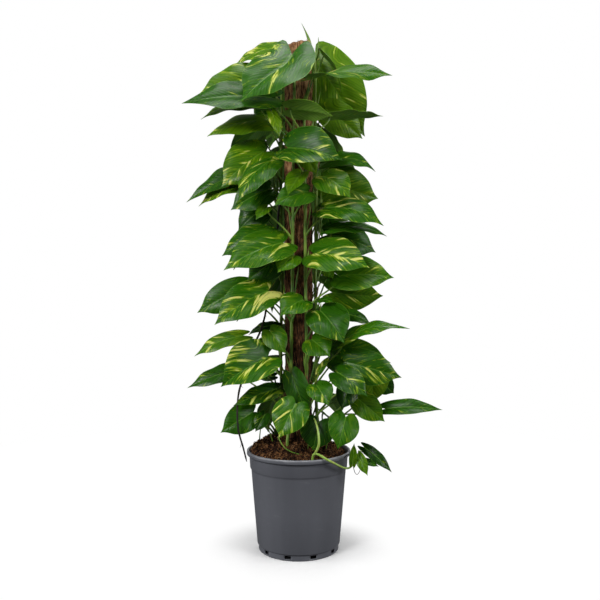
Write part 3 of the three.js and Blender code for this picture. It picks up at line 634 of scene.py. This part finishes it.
def leafMaterial(name, upper):
    look = leafLook
    material, add = newMaterial(name)
    plan = add("SeparateXYZ", (add("UVMap", uv_map="veinPlan"),))
    blade = add("SeparateXYZ", (add("UVMap", uv_map="bladePlan"),))
    natureAndShade = add("Attribute", attribute_name="leafNatureAndShade")
    parts = add("SeparateColor", (natureAndShade.outputs["Color"],))
    cream, tone, seed = parts.outputs[0], parts.outputs[1], parts.outputs[2]
    vein, out = plan.outputs[0], plan.outputs[1]
    distance = add("Math.ABSOLUTE", (out,))
    rightHalf = add("Math.GREATER_THAN", (out, 0.0))
    halfShift = add("Math.MULTIPLY", (rightHalf, 7.3))
    apart = add("Math.MULTIPLY_ADD", (seed, 61.0, halfShift))

    # random patterns drawn out along the side veins, different on each half of each blade
    patterns = []
    for veinLength, veinWidth, shift, detail in look["patterns"].values():
        across = add("Math.DIVIDE", (vein, veinWidth))
        along = add("Math.DIVIDE", (distance, veinLength))
        layer = add("Math.ADD", (apart, shift))
        where = add("CombineXYZ", (across, along, layer))
        pattern = {"Vector": where, "Scale": 1.0, "Detail": detail, "Roughness": 0.55}
        patterns.append(add("TexNoise", pattern))
    patches, splashes, feathers, speckles, mottle, pucker = patterns

    patchWeight, splashWeight, featherWeight = look["weights"]
    splashed = add("Math.MULTIPLY", (splashes, splashWeight))
    edged = add("Math.MULTIPLY_ADD", (feathers, featherWeight, splashed))
    field = add("Math.MULTIPLY_ADD", (patches, patchWeight, edged))
    above = add("Math.MULTIPLY_ADD", (cream, 0.26, field))
    near = add("Math.MULTIPLY_ADD", (field, 0.55, speckles))  # dots by the splashes
    dotted = add("Math.MULTIPLY_ADD", (cream, 0.1, near))
    dots = add("MapRange", (dotted, *look["dotsFrom"], 0.0, 0.9))
    halo = add("MapRange", (above, *look["fleckedFrom"], 0.0, 0.85))
    fleck = add("Math.MAXIMUM", (halo, dots))
    creamed = add("MapRange", (above, *look["creamFrom"]))

    # green that goes from deep to sunlit with the leaf's tone, which is partly painted light and shade,
    # and its mottling
    mottled = add("Math.MULTIPLY_ADD", (mottle, 0.45, tone))
    level = add("Math.SUBTRACT", (mottled, 0.225), use_clamp=True)
    stops = [(0.12, look["darkGreen"]), (0.5, look["midGreen"]), (0.95, look["sunlitGreen"])]
    greens = add("ValToRGB", (level,), stops=stops)
    if not upper:
        # the underside is paler: partly its own colour and partly painted light for light shining through
        # the blade
        greens = add("Mix", (0.6, greens, look["underside"]), data_type="RGBA")
    base = add("Mix", (fleck, greens, look["flecks"]), data_type="RGBA")
    base = add("Mix", (creamed, base, look["cream"]), data_type="RGBA")

    # midrib, side veins with painted shade along their grooves, and the thin pale margin
    ribHalf = add("Math.MULTIPLY_ADD", (blade.outputs[1], -0.0011, 0.0014))
    offRib = add("Math.DIVIDE", (distance, ribHalf))
    rib = add("MapRange", (offRib, 1.3, 0.7, 0.0, 0.35 if upper else 0.6))
    started = add("Math.ADD", (vein, 1.0))
    counted = add("Math.DIVIDE", (started, look["veinSpacing"]))
    beat = add("Math.FRACT", (counted,))
    offMiddle = add("Math.SUBTRACT", (beat, 0.5))
    offVein = add("Math.ABSOLUTE", (offMiddle,))
    sideVein = add("MapRange", (offVein, 0.43, 0.5, 0.0, 0.05 if upper else 0.25))
    offCentre = add("Math.ABSOLUTE", (blade.outputs[0],))
    margin = add("MapRange", (offCentre, 0.965, 0.99, 0.0, 0.35))
    lines = add("Math.MAXIMUM", (rib, sideVein))
    lines = add("Math.MAXIMUM", (lines, margin))
    halfTurn = add("Math.MULTIPLY", (beat, math.pi))
    quilt = add("Math.SINE", (halfTurn,))
    # painted shade: the blade is darkened along its side veins, which lie in grooves on the upper face
    veinShade = add("MapRange", (quilt, 0.0, 0.7, 0.5, 0.0))
    base = add("Mix", (veinShade, base, "#8fa060"), data_type="RGBA", blend_type="MULTIPLY")
    base = add("Mix", (lines, base, look["paleRib"]), data_type="RGBA")

    # waxy cuticle: the blade swells a little between its side veins, with finer puckers on it
    pucker = add("Math.MULTIPLY", (pucker, 0.8))
    relief = add("Math.MULTIPLY_ADD", (quilt, 0.35 if upper else -0.5, pucker))
    bump = add("Bump", {"Height": relief, "Strength": 0.4, "Distance": 0.001})
    gloss = look["gloss"] if upper else look["gloss"] + 0.18
    shine = add("MapRange", (mottle, 0.3, 0.7, gloss - 0.05, gloss + 0.08))
    surface = add("BsdfPrincipled", {
        "Base Color": base, "Normal": bump, "Roughness": shine, "IOR": 1.45, "Specular IOR Level": 0.24,
        "Subsurface Weight": 0.25, "Subsurface Radius": (0.6, 1.0, 0.25), "Subsurface Scale": 0.002,
    })
    add("OutputMaterial", (surface,))
    return material


def stalkMaterial(name, pale, deep, gloss):
    material, add = newMaterial(name)
    where = add("TexCoord").outputs["Object"]
    stretch = add("Mapping", {"Vector": where, "Scale": (300, 300, 25)})
    fibre = add("TexNoise", {"Vector": stretch, "Scale": 1.0, "Detail": 3.0})
    broad = add("TexNoise", {"Vector": where, "Scale": 22.0, "Detail": 2.0})
    blend = add("Math.ADD", (fibre, broad))
    spread = add("MapRange", (blend, 0.75, 1.25))
    ramp = add("ValToRGB", (spread,), stops=[(0.0, deep), (1.0, pale)])
    bump = add("Bump", {"Height": fibre, "Strength": 0.4, "Distance": 0.0006})
    surface = add("BsdfPrincipled", {
        "Base Color": ramp, "Normal": bump, "Roughness": gloss,
        "Subsurface Weight": 0.12, "Subsurface Scale": 0.002,
    })
    add("OutputMaterial", (surface,))
    return material


waxyUpper = leafMaterial("waxyLeafUpper", True)  # smooth cuticle: deep green, clear soft highlights
paleUnder = leafMaterial("paleLeafUnderside", False)  # paler and duller, its veins stand out; its paleness is partly its own colour and partly painted light for light through the blade
greenStalk = stalkMaterial("greenStalkSkin", "#8aa93a", "#3a6a17", 0.5)  # smooth young bark, fine grooves
shootSkin = stalkMaterial("youngShootSkin", "#b6cf6a", "#86ab3c", 0.4)  # fresh, yellow green, a bit glossy


def finishLeaves(name, bm, replaced):
    piece = finishPiece(name, bm, (waxyUpper, paleUnder), replaced)
    skin = piece.modifiers.new("bladeThickness", "SOLIDIFY")
    skin.thickness = bladeForm["thickness"] * 0.001
    skin.offset = 0
    skin.material_offset = 1
    skin.material_offset_rim = 0
    return piece


for name, vine in vines.items():
    rows = list(leafRows.get(name, [])) + (backRows(name) if name in backLeaves else [])
    blades, stems = bmesh.new(), bmesh.new()
    growStem(stems, name, vine)
    growTip(stems, vine)
    for i, row in enumerate(rows):
        leaf = readLeaf(row)
        growBlade(blades, leaf)
        aside = math.hypot(row[0], row[1]) - stemForm["track"]
        wanted = row[2] - stemForm["stalkDrop"] - stemForm["stalkSlope"] * aside
        lowest = stemForm["foot"] - 4 + 8 * (i % 4)
        start = stemPoint(vine, max(lowest, min(wanted, vine["top"] - 12)))
        growStalk(stems, start, leaf)
    finishLeaves(name.replace("vine", "leaves"), blades, (name,))
    finishPiece(name.replace("vine", "stems"), stems, (greenStalk,), (name,))


# The trailing shoot that rises from the soil, forks and hangs over the rim
shoot = {
    "path": [
        (30, -98, 190), (31, -99, 228), (38, -106, 242), (64, -112, 230), (82, -104, 219),
        (100, -88, 207), (114, -76, 204), (125, -66, 213), (132, -58, 228),
    ],
    "rise": [(36, -104, 241), (44, -114, 262), (44, -114, 285), (40, -102, 305), (34, -88, 318)],
    "radius": 2.8,
    "leaves": [  # the place on the path that each one grows from, and its row
        (6, (120, -88, 214, 123, -96, 264, -90, 0, 0.36, 0, 0.06, 0.1, 0.5)),
        (7, (133, -80, 234, 153, -96, 191, -85, 0, 0.5, 0, 0.08, 0.1, 0.5)),
        (8, (146, -64, 218, 180, -74, 206, -85, 30, 0.44, 0, 0.08, 0.05, 0.1)),
        (8, (150, -50, 244, 210, -72, 192, -70, 10, 0.34, 0, 0.14, 0.05, -0.5)),
    ],
    "stalk": {"foot": 1.7, "middle": 1.3, "neck": 1.1, "heel": 1.4, "steps": 8, "sides": 7},
}
blades, stems = bmesh.new(), bmesh.new()
for points in (shoot["path"], shoot["rise"]):
    line = smoothLine(points, 7)
    radii = taper(line, 1.05 * shoot["radius"], 0.7 * shoot["radius"])
    radii[-3:] = [radii[-3] * f for f in (0.9, 0.7, 0.35)]
    gather(stems, growTube(line, radii, 10))
for start, row in shoot["leaves"]:
    leaf = readLeaf(row)
    growBlade(blades, leaf)
    growStalk(stems, Vector(shoot["path"][start]), leaf, shoot["stalk"])
finishLeaves("leaves_runner", blades, ("runner",))
finishPiece("stems_runner", stems, (shootSkin,), ("runner",))

# Young rolled leaves, dry sheaths and thin stems that stand between the leaves, the pole and the soil
tangle = {
    "rolled": 30,
    "rolledRise": (80, 150),
    "rolledReach": (4, 16),
    "rolledAside": 26,
    "sheaths": 20,
    "sheathRise": (24, 46),
    "sheathReach": (5, 12),
    "sheathAside": 9,
    "sheathThickness": 0.0004,
    "sheathTwist": 40,
    "thinStems": [
        ([
            (-46, -76, 274), (-38, -80, 259), (-28, -82, 248),
            (-10, -84, 239), (10, -84, 234), (18, -82, 226),
        ], 1.4),
        ([(-92, 15, 222), (-93, 14, 240), (-92, 12, 258), (-90, 10, 277)], 1.9),
        ([(-58, -30, 238), (-62, -34, 262), (-72, -40, 290), (-86, -46, 318)], 1.5),
        ([(62, -44, 234), (66, -52, 262), (72, -60, 292), (82, -64, 322)], 1.4),
        ([(20, -62, 240), (24, -66, 268), (20, -64, 300), (12, -60, 336), (10, -54, 372)], 1.3),
    ],
}
chance = random.Random(33)


def besideStem(number, lowest, belowTop, width):
    # a chance place on a stem, the way out from the pole there, and a step aside
    vine = list(vines.values())[number % len(vines)]
    place = stemPoint(vine, chance.uniform(lowest, vine["top"] - belowTop))
    outward = Vector((place.x, place.y, 0)).normalized()
    return place, outward, Vector((-outward.y, outward.x, 0)) * chance.uniform(-width, width)


stems = bmesh.new()
for k in range(tangle["rolled"]):
    start, outward, aside = besideStem(k, 330, 130, tangle["rolledAside"])
    rise = Vector((0, 0, chance.uniform(*tangle["rolledRise"])))
    reach = chance.uniform(*tangle["rolledReach"])
    points = [start]
    for out, across, up in ((0.6, 0.25, 0.3), (1, 0.7, 0.72), (1.2, 1, 1)):
        points.append(start + outward * reach * out + aside * across + rise * up)
    line = smoothLine(points, 6)
    radii = []
    for i in range(len(line)):
        t = i / (len(line) - 1)
        radius = 1.7 - 0.5 * smoothStep(0, 0.4, t) + 1.1 * smoothStep(0.55, 0.7, t)
        radii.append(radius - 2.1 * smoothStep(0.7, 1, t))
    gather(stems, growTube(line, radii, 8))
for points, radius in tangle["thinStems"]:
    line = smoothLine(points, 6)
    gather(stems, growTube(line, taper(line, radius, 0.55 * radius), 8))
finishPiece("stems_thin", stems, (greenStalk,), None)

dryHusk = stalkMaterial("dryLeafSheath", "#a98a58", "#4a3018", 0.75)  # papery sheath: brown, fibrous, dull
husks = bmesh.new()
for k in range(tangle["sheaths"]):
    foot, outward, aside = besideStem(k * 5 + 1, 290, 60, tangle["sheathAside"])
    tip = foot + outward * chance.uniform(*tangle["sheathReach"]) + aside
    tip.z += chance.uniform(*tangle["sheathRise"])
    azimuth = math.degrees(math.atan2(outward.y, outward.x))
    twist = chance.uniform(-tangle["sheathTwist"], tangle["sheathTwist"])
    shape = (azimuth, 0, 0.24, -32, 0.05, 0, 0, {"twist": twist})
    growBlade(husks, readLeaf((*(foot + outward * 2.6), *tip, *shape)))
sheaths = finishPiece("leaf_sheaths", husks, (dryHusk,), None)
skin = sheaths.modifiers.new("sheathThickness", "SOLIDIFY")
skin.thickness = tangle["sheathThickness"]

# The long dark aerial root and its rootlets
rootForm = {
    "path": [
        (-17.5, -38.5, 828), (-36, -27, 815), (-46, -18, 790), (-50, -6, 745), (-58, -2, 700),
        (-74, 4, 655), (-78, -4, 610), (-76, -10, 560), (-86, -24, 515), (-104, -40, 470),
        (-117, -62, 417), (-129, -72, 391), (-135, -74, 366), (-136, -89, 334), (-134, -96, 299),
        (-130, -90, 276), (-124, -78, 250), (-117, -62, 214),
    ],
    "radius": 2.8,
    "wrinkles": 0.14,
    "rootlets": 26,
    "rootletRadii": [0.6, 0.5, 0.35, 0.1],
    "small": [  # the small root that hangs over the rim on the right
        (101, -62, 221), (113, -66, 231), (121, -67, 214), (126, -67, 194),
        (131, -67, 187), (136, -66, 190), (139, -65, 197),
    ],
    "smallRadius": 1.0,
}
# dried cork skin: nearly black, dull, wrinkled along
darkBark = stalkMaterial("dryAerialRootBark", "#2a1f16", "#0a0705", 0.8)
chance = random.Random(4)
root = bmesh.new()
line = smoothLine(rootForm["path"], 8)
radii = taper(line, rootForm["radius"], 0.7 * rootForm["radius"])
radii = [r * (1 + rootForm["wrinkles"] * noise.noise(p / 9)) for r, p in zip(radii, line)]
radii[-3:] = [radii[-3] * f for f in (0.85, 0.6, 0.25)]
gather(root, growTube(line, radii, 8))
for k in range(rootForm["rootlets"]):
    place = line[chance.randrange(6, len(line) - 4)]
    aim = Vector((chance.uniform(-1, 1), chance.uniform(-1, 1), chance.uniform(-0.9, 0.3))).normalized()
    reach = chance.uniform(5, 14)
    curl = Vector((chance.uniform(-3, 3), chance.uniform(-3, 3), -3))
    hair = [place + aim * reach * t + curl * t * t for t in (0, 0.35, 0.7, 1)]
    gather(root, growTube(hair, rootForm["rootletRadii"], 4))
line = smoothLine(rootForm["small"], 6)
gather(root, growTube(line, taper(line, rootForm["smallRadius"], 0.5 * rootForm["smallRadius"]), 7))
finishPiece("aerial_root_bark", root, (darkBark,), ("aerial_root",))

# The climbing pole: a coir mat wrapped round the stake, with loose strands on it
coirForm = {
    "radius": 32,
    "foot": 196,
    "top": 1194,
    "rings": 110,
    "around": 56,
    "lumps": 1.5,
    "strands": 1100,
    "strandRadius": 0.55,
    "strandSizes": (0.6, 1.5),
    "strandRise": (14, 60),
    "strandLift": (0.2, 0.4, 0.7, 1.0, 2.6),  # how far a strand stands off in its middle
    "tones": [(0.0, "#0f0804"), (0.36, "#3a2312"), (0.66, "#7f5535"), (1.0, "#c09a6c")],
}


def coirReach(turn, z):
    bulge = 1 + 0.035 * math.sin(3 * turn + z / 70) + 0.03 * math.sin(5 * turn - z / 41)
    place = Vector((math.cos(turn) * 3.2, math.sin(turn) * 3.2, z / 26))
    slim = 1 - 0.13 * smoothStep(1080, 1180, z)
    return coirForm["radius"] * bulge * slim + coirForm["lumps"] * noise.fractal(place, 0.6, 2.0, 4)


coir = bmesh.new()
straight = coirForm["top"] - 12 - coirForm["foot"]
heights = [coirForm["foot"] + straight * i / coirForm["rings"] for i in range(coirForm["rings"] + 1)]
heights += [coirForm["top"] - d for d in (8, 5, 3, 1.5)]
radii = [1.0] * (coirForm["rings"] + 1) + [0.86, 0.66, 0.4, 0.12]
gather(coir, growTube([Vector((0, 0, z)) for z in heights], radii, coirForm["around"]))
for vert in coir.verts:
    turn = math.atan2(vert.co.y, vert.co.x)
    vert.co.xy = vert.co.xy * coirReach(turn, vert.co.z)
    torn = smoothStep(1120, 1190, vert.co.z)  # the mat ends uneven, lower on the left
    vert.co.z -= torn * (6 - 0.19 * vert.co.x + 4 * noise.noise(vert.co / 9))


def coirMaterial(name, useStrands):
    material, add = newMaterial(name)
    where = add("TexCoord").outputs["Object"]
    drawn = add("Mapping", {"Vector": where, "Scale": (520, 520, 46)})  # strands 2 by 20 mm
    fibrous = {"Vector": drawn, "Scale": 1.0, "Detail": 4.0, "Roughness": 0.65, "Distortion": 0.6}
    strands = add("TexNoise", fibrous)
    clumps = add("TexNoise", {"Vector": where, "Scale": 70.0, "Detail": 3.0})
    clumped = add("Math.MULTIPLY", (clumps, 0.6))
    blend = add("Math.MULTIPLY_ADD", (strands, 1.1, clumped))
    if useStrands:
        tint = add("Attribute", attribute_name="strandTone").outputs["Fac"]
        halved = add("Math.MULTIPLY", (blend, 0.5))
        blend = add("Math.MULTIPLY_ADD", (tint, 0.9, halved))
    height = add("SeparateXYZ", (where,)).outputs[2]
    heightShade = add("MapRange", (height, 0.35, 1.1, -0.1, 0.14))  # painted shade and light: darker towards the foot, where the leaves shade the pole, and lighter at the top
    shadedBlend = add("Math.ADD", (blend, heightShade))
    spread = add("MapRange", (shadedBlend, 0.58, 1.16))
    ramp = add("ValToRGB", (spread,), stops=coirForm["tones"])
    depth = 0.0004 if useStrands else 0.002
    bump = add("Bump", {"Height": blend, "Strength": 1.0, "Distance": depth})
    felt = {"Base Color": ramp, "Normal": bump, "Roughness": 0.9, "Specular IOR Level": 0.2}
    add("OutputMaterial", (add("BsdfPrincipled", felt),))
    return material


def addStrand(whole, line, radii, tone):
    # a loose strand with its own tone, from dark to straw brown
    strand = growTube(line, radii, 3)
    layer = strand.loops.layers.float_color.new("strandTone")
    for face in strand.faces:
        for loop in face.loops:
            loop[layer] = (tone, tone, tone, 1)
    gather(whole, strand)


coirMat = coirMaterial("coirMat", False)  # felted coconut husk: dull red brown with dark gaps
coirStrand = coirMaterial("coirStrands", True)  # loose husk strands, from dark to straw brown
finishPiece("coir_wrap", coir, (coirMat,), ("coir_sleeve",))

chance = random.Random(11)
loose = bmesh.new()
loose.loops.layers.float_color.new("strandTone")
for k in range(coirForm["strands"]):
    z = chance.uniform(225, coirForm["top"] - 20)
    turn = chance.uniform(0, fullTurn)
    rise = chance.uniform(*coirForm["strandRise"])
    drift = chance.gauss(0, 0.16)
    lift = chance.choice(coirForm["strandLift"])
    line = []
    for t in (0, 0.25, 0.5, 0.75, 1):
        height = min(z + rise * t, coirForm["top"] - 14 + 6 * math.cos(turn))
        angle = turn + drift * t + 0.05 * math.sin(9 * t + k)
        reach = coirReach(angle, height) + lift * math.sin(math.pi * min(1, 0.15 + t)) - 0.25
        line.append(Vector((reach * math.cos(angle), reach * math.sin(angle), height)))
    size = coirForm["strandRadius"] * chance.uniform(*coirForm["strandSizes"])
    addStrand(loose, line, [f * size for f in (0.3, 1, 1, 0.8, 0.2)], chance.random())
finishPiece("coir_strands", loose, (coirStrand,), ("coir_sleeve",))

# The potting mix: a crumbly mound with larger crumbs and husk fibres on it
soilForm = {
    "mound": [(30, 255), (34.7, 255), (52, 250), (72, 242.5), (92, 233), (108, 222.5), (112, 218)],
    "rough": 6.5,
    "heap": 13,  # how much higher it is heaped on the left
    "brim": 12,  # and how far it lies up against the rim on the left and at the back
    "crumbs": 1500,
    "crumbSizes": (0.9, 3.0),
    "largeCrumbs": (0.09, 1.8),  # the share that is larger, and by how much
    "fibres": 380,
    "fibreLength": (5, 17),
    "fibreRadii": [0.2, 0.42, 0.4, 0.15],
    "wall": 108,  # the fibres end here, inside the pot's wall
}


def soilHeight(x, y):
    # the mound with its lumps; close to the rim it lies flat against the wall
    r, mound = math.hypot(x, y), soilForm["mound"]
    base = mound[-1][1]
    for (r0, z0), (r1, z1) in zip(mound, mound[1:]):
        if r0 <= r <= r1:
            base = z0 + (z1 - z0) * (r - r0) / (r1 - r0)
    base += 2 * math.sin(x / 11 + 1) * math.sin(y / 13) + 1.2 * math.sin(x / 5 - y / 7)
    base += soilForm["heap"] * smoothStep(10, -75, x) * smoothStep(-95, -20, y) * smoothStep(113, 96, r)
    base += soilForm["brim"] * max(smoothStep(-40, -90, x), smoothStep(20, 70, y)) * smoothStep(94, 110, r)
    place = Vector((x / 12, y / 12, 3.0))
    return base + soilForm["rough"] * (noise.fractal(place, 0.42, 2.2, 5) - 0.1) * smoothStep(114, 104, r)


rings = [(30, 150), (30, 247)] + [(30 + 82 * i / 34, 0) for i in range(35)] + [(111.8, 200), (104, 150)]
soilBuild = spunProfile([(r, z if z else 300) for r, z in rings], 180)
for vert in soilBuild.verts:
    if vert.co.z > 246:
        vert.co.z = soilHeight(vert.co.x, vert.co.y)

# peat and coir: dark and crumbly, no gloss
pottingMix, add = newMaterial("dampPottingMix")
where = add("TexCoord").outputs["Object"]
crumbs = add("TexVoronoi", {"Vector": where, "Scale": 260.0, "Randomness": 1.0})  # 4 mm across
fine = add("TexNoise", {"Vector": where, "Scale": 420.0, "Detail": 4.0, "Roughness": 0.7})
broad = add("TexNoise", {"Vector": where, "Scale": 45.0, "Detail": 2.0})
apart = add("SeparateColor", (crumbs.outputs["Color"],))
tones = add("Math.MULTIPLY_ADD", (apart, 0.45, fine))
tones = add("Math.MULTIPLY_ADD", (broad, 0.7, tones))
spread = add("MapRange", (tones, 0.8, 1.32))
ramp = add("ValToRGB", (spread,), stops=[(0.0, "#110905"), (0.55, "#402517"), (1.0, "#946840")])
height = add("Math.MULTIPLY_ADD", (crumbs.outputs["Distance"], -0.7, fine))
bump = add("Bump", {"Height": height, "Strength": 1.0, "Distance": 0.005})
peat = {"Base Color": ramp, "Normal": bump, "Roughness": 0.95, "Specular IOR Level": 0.15}
add("OutputMaterial", (add("BsdfPrincipled", peat),))
finishPiece("potting_mix", soilBuild, (pottingMix,), ("soil",))

chance = random.Random(21)
crumbs = bmesh.new()
for k in range(soilForm["crumbs"]):
    radius = 36 + 72 * math.sqrt(chance.random())
    turn = chance.uniform(0, fullTurn)
    x, y = radius * math.cos(turn), radius * math.sin(turn)
    largeShare, larger = soilForm["largeCrumbs"]
    size = chance.uniform(*soilForm["crumbSizes"]) * (larger if chance.random() < largeShare else 1)
    crumb = bmesh.new()
    bmesh.ops.create_icosphere(crumb, subdivisions=1, radius=size)
    for vert in crumb.verts:
        vert.co *= chance.uniform(0.7, 1.2)
    bmesh.ops.scale(crumb, vec=(1, chance.uniform(0.6, 1), chance.uniform(0.45, 0.8)), verts=crumb.verts)
    turned = Matrix.Rotation(chance.uniform(0, 6.3), 3, "Z")
    bmesh.ops.rotate(crumb, cent=(0, 0, 0), matrix=turned, verts=crumb.verts)
    bmesh.ops.translate(crumb, vec=(x, y, soilHeight(x, y) + 0.15 * size), verts=crumb.verts)
    gather(crumbs, crumb)
finishPiece("soil_crumbs", crumbs, (pottingMix,), ("soil",))

fibres = bmesh.new()
fibres.loops.layers.float_color.new("strandTone")
for k in range(soilForm["fibres"]):
    radius = 40 + 66 * math.sqrt(chance.random())
    turn, aim = chance.uniform(0, 6.3), chance.uniform(0, 6.3)
    reach = chance.uniform(*soilForm["fibreLength"])
    bend = chance.uniform(-0.9, 0.9)
    high = chance.uniform(0.4, 2.4)
    line = []
    for t in (0, 0.33, 0.66, 1):
        angle = aim + bend * t
        x = radius * math.cos(turn) + reach * t * math.cos(angle)
        y = radius * math.sin(turn) + reach * t * math.sin(angle)
        pull = min(1, soilForm["wall"] / math.hypot(x, y))
        x, y = x * pull, y * pull
        line.append(Vector((x, y, soilHeight(x, y) + 0.3 + high * math.sin(math.pi * t))))
    addStrand(fibres, line, soilForm["fibreRadii"], chance.uniform(0.2, 1))
finishPiece("soil_fibres", fibres, (coirStrand,), ("soil",))

# The pot
potForm = {
    "outer": [
        (0, 0.6), (84, 0.6), (88, 0), (92, 0), (93.1, 0.5), (93.5, 1.5), (93.5, 3.5), (93.5, 11.5),
        (93.5, 12.5), (94.2, 13.6), (96.2, 14.6), (96.7, 16), (103.8, 100), (110.8, 184), (111.4, 187),
        (113.0, 189.2), (113.6, 190.4), (115.3, 216.5), (115.9, 218.6), (117.2, 219.5), (120.2, 220),
        (121.2, 220.9), (121.5, 222), (121.5, 227.2), (121.1, 229), (119.9, 230),
    ],
    "inner": [
        (118.0, 230), (116.6, 229.2), (115.6, 227), (113.4, 224), (112.8, 216), (111.3, 190),
        (108.8, 186), (94.3, 15), (91.3, 12.5), (91.3, 11.5), (91.3, 3.5), (90.8, 3), (0, 3),
    ],
    "steps": 120,
    "slots": 10,
    "slotFaces": 3,
    "slotShift": 0.08,  # the share of a slot's step that the first one is turned by
    "slotHeights": (4, 11),
    "slotRadii": (90, 94),
}
stepTurn = fullTurn / potForm["steps"]
slotTurn = fullTurn * potForm["slotShift"] / potForm["slots"]
slotHalf = potForm["slotFaces"] / 2 * stepTurn
low, high = potForm["slotHeights"]
inside, outside = potForm["slotRadii"]
potBuild = spunProfile(potForm["outer"] + potForm["inner"], potForm["steps"], slotTurn + stepTurn / 2)
for k in range(potForm["slots"]):
    middle = slotTurn + fullTurn * k / potForm["slots"]
    cut = []
    for face in potBuild.faces:
        centre = face.calc_center_median()
        apart = (math.atan2(centre.y, centre.x) - middle + math.pi) % fullTurn - math.pi
        inBand = low < centre.z < high and inside < math.hypot(centre.x, centre.y) < outside
        if inBand and abs(apart) < slotHalf:
            cut.append(face)
    edges = {e for f in cut for e in f.edges if sum(g in cut for g in e.link_faces) == 1}
    bmesh.ops.delete(potBuild, geom=cut, context="FACES_ONLY")
    bmesh.ops.bridge_loops(potBuild, edges=[e for e in edges if e.is_valid])
bmesh.ops.recalc_face_normals(potBuild, faces=potBuild.faces)

# recycled plastic: dull dark grey, a soft wide highlight, faint scuffs
material, add = newMaterial("mouldedPolypropylene")
where = add("TexCoord").outputs["Object"]
grain = add("TexNoise", {"Vector": where, "Scale": 900.0, "Detail": 2.0})  # about 1 mm across
flow = add("Mapping", {"Vector": where, "Scale": (14, 14, 1.5)})  # marks that run up the wall
marks = add("TexNoise", {"Vector": flow, "Scale": 1.0, "Detail": 3.0})
drawn = add("Mapping", {"Vector": where, "Scale": (30, 30, 160)})
scuffs = add("TexNoise", {"Vector": drawn, "Scale": 1.0, "Detail": 5.0, "Roughness": 0.7})
worn = add("MapRange", (scuffs, 0.6, 0.78, 0.0, 0.35))
tone = add("ValToRGB", (marks,), stops=[(0.3, "#5b5d64"), (0.7, "#66686f")])
tone = add("Mix", (worn, tone, "#84868b"), data_type="RGBA")
rise = add("SeparateXYZ", (where,)).outputs[2]
lip = add("MapRange", (rise, 0.2258, 0.2288, 0.0, 1.0))  # the top of the lip is painted paler where scuffs touch it: partly wear and partly a painted highlight
touched = add("MapRange", (scuffs, 0.42, 0.62))
wornLipAndHighlight = add("Math.MULTIPLY", (lip, touched))
tone = add("Mix", (wornLipAndHighlight, tone, "#a0a2a6"), data_type="RGBA")
height = add("Math.MULTIPLY_ADD", (grain, 0.35, marks))
bump = add("Bump", {"Height": height, "Strength": 0.35, "Distance": 0.0008})
shine = add("MapRange", (scuffs, 0.3, 0.8, 0.4, 0.58))
surface = add("BsdfPrincipled", {"Base Color": tone, "Normal": bump, "Roughness": shine})
add("OutputMaterial", (surface,))
finishPiece("nursery_pot", potBuild, (material,), ("pot",))

# The stake inside the coir keeps its solid and gets its wood
material, add = newMaterial("roughSawnStake")  # weathered softwood: grey brown, straight grain, dull
where = add("TexCoord").outputs["Object"]
drawn = add("Mapping", {"Vector": where, "Scale": (160, 160, 6)})
grain = add("TexNoise", {"Vector": drawn, "Scale": 1.0, "Detail": 4.0, "Distortion": 0.4})
ramp = add("ValToRGB", (grain,), stops=[(0.3, "#5c432c"), (0.55, "#8a6a48"), (0.75, "#a88a63")])
bump = add("Bump", {"Height": grain, "Strength": 0.5, "Distance": 0.001})
surface = add("BsdfPrincipled", {"Base Color": ramp, "Normal": bump, "Roughness": 0.8})
add("OutputMaterial", (surface,))
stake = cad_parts["pole_core"]
stake.data.materials.clear()
stake.data.materials.append(material)
print("all pieces finished")
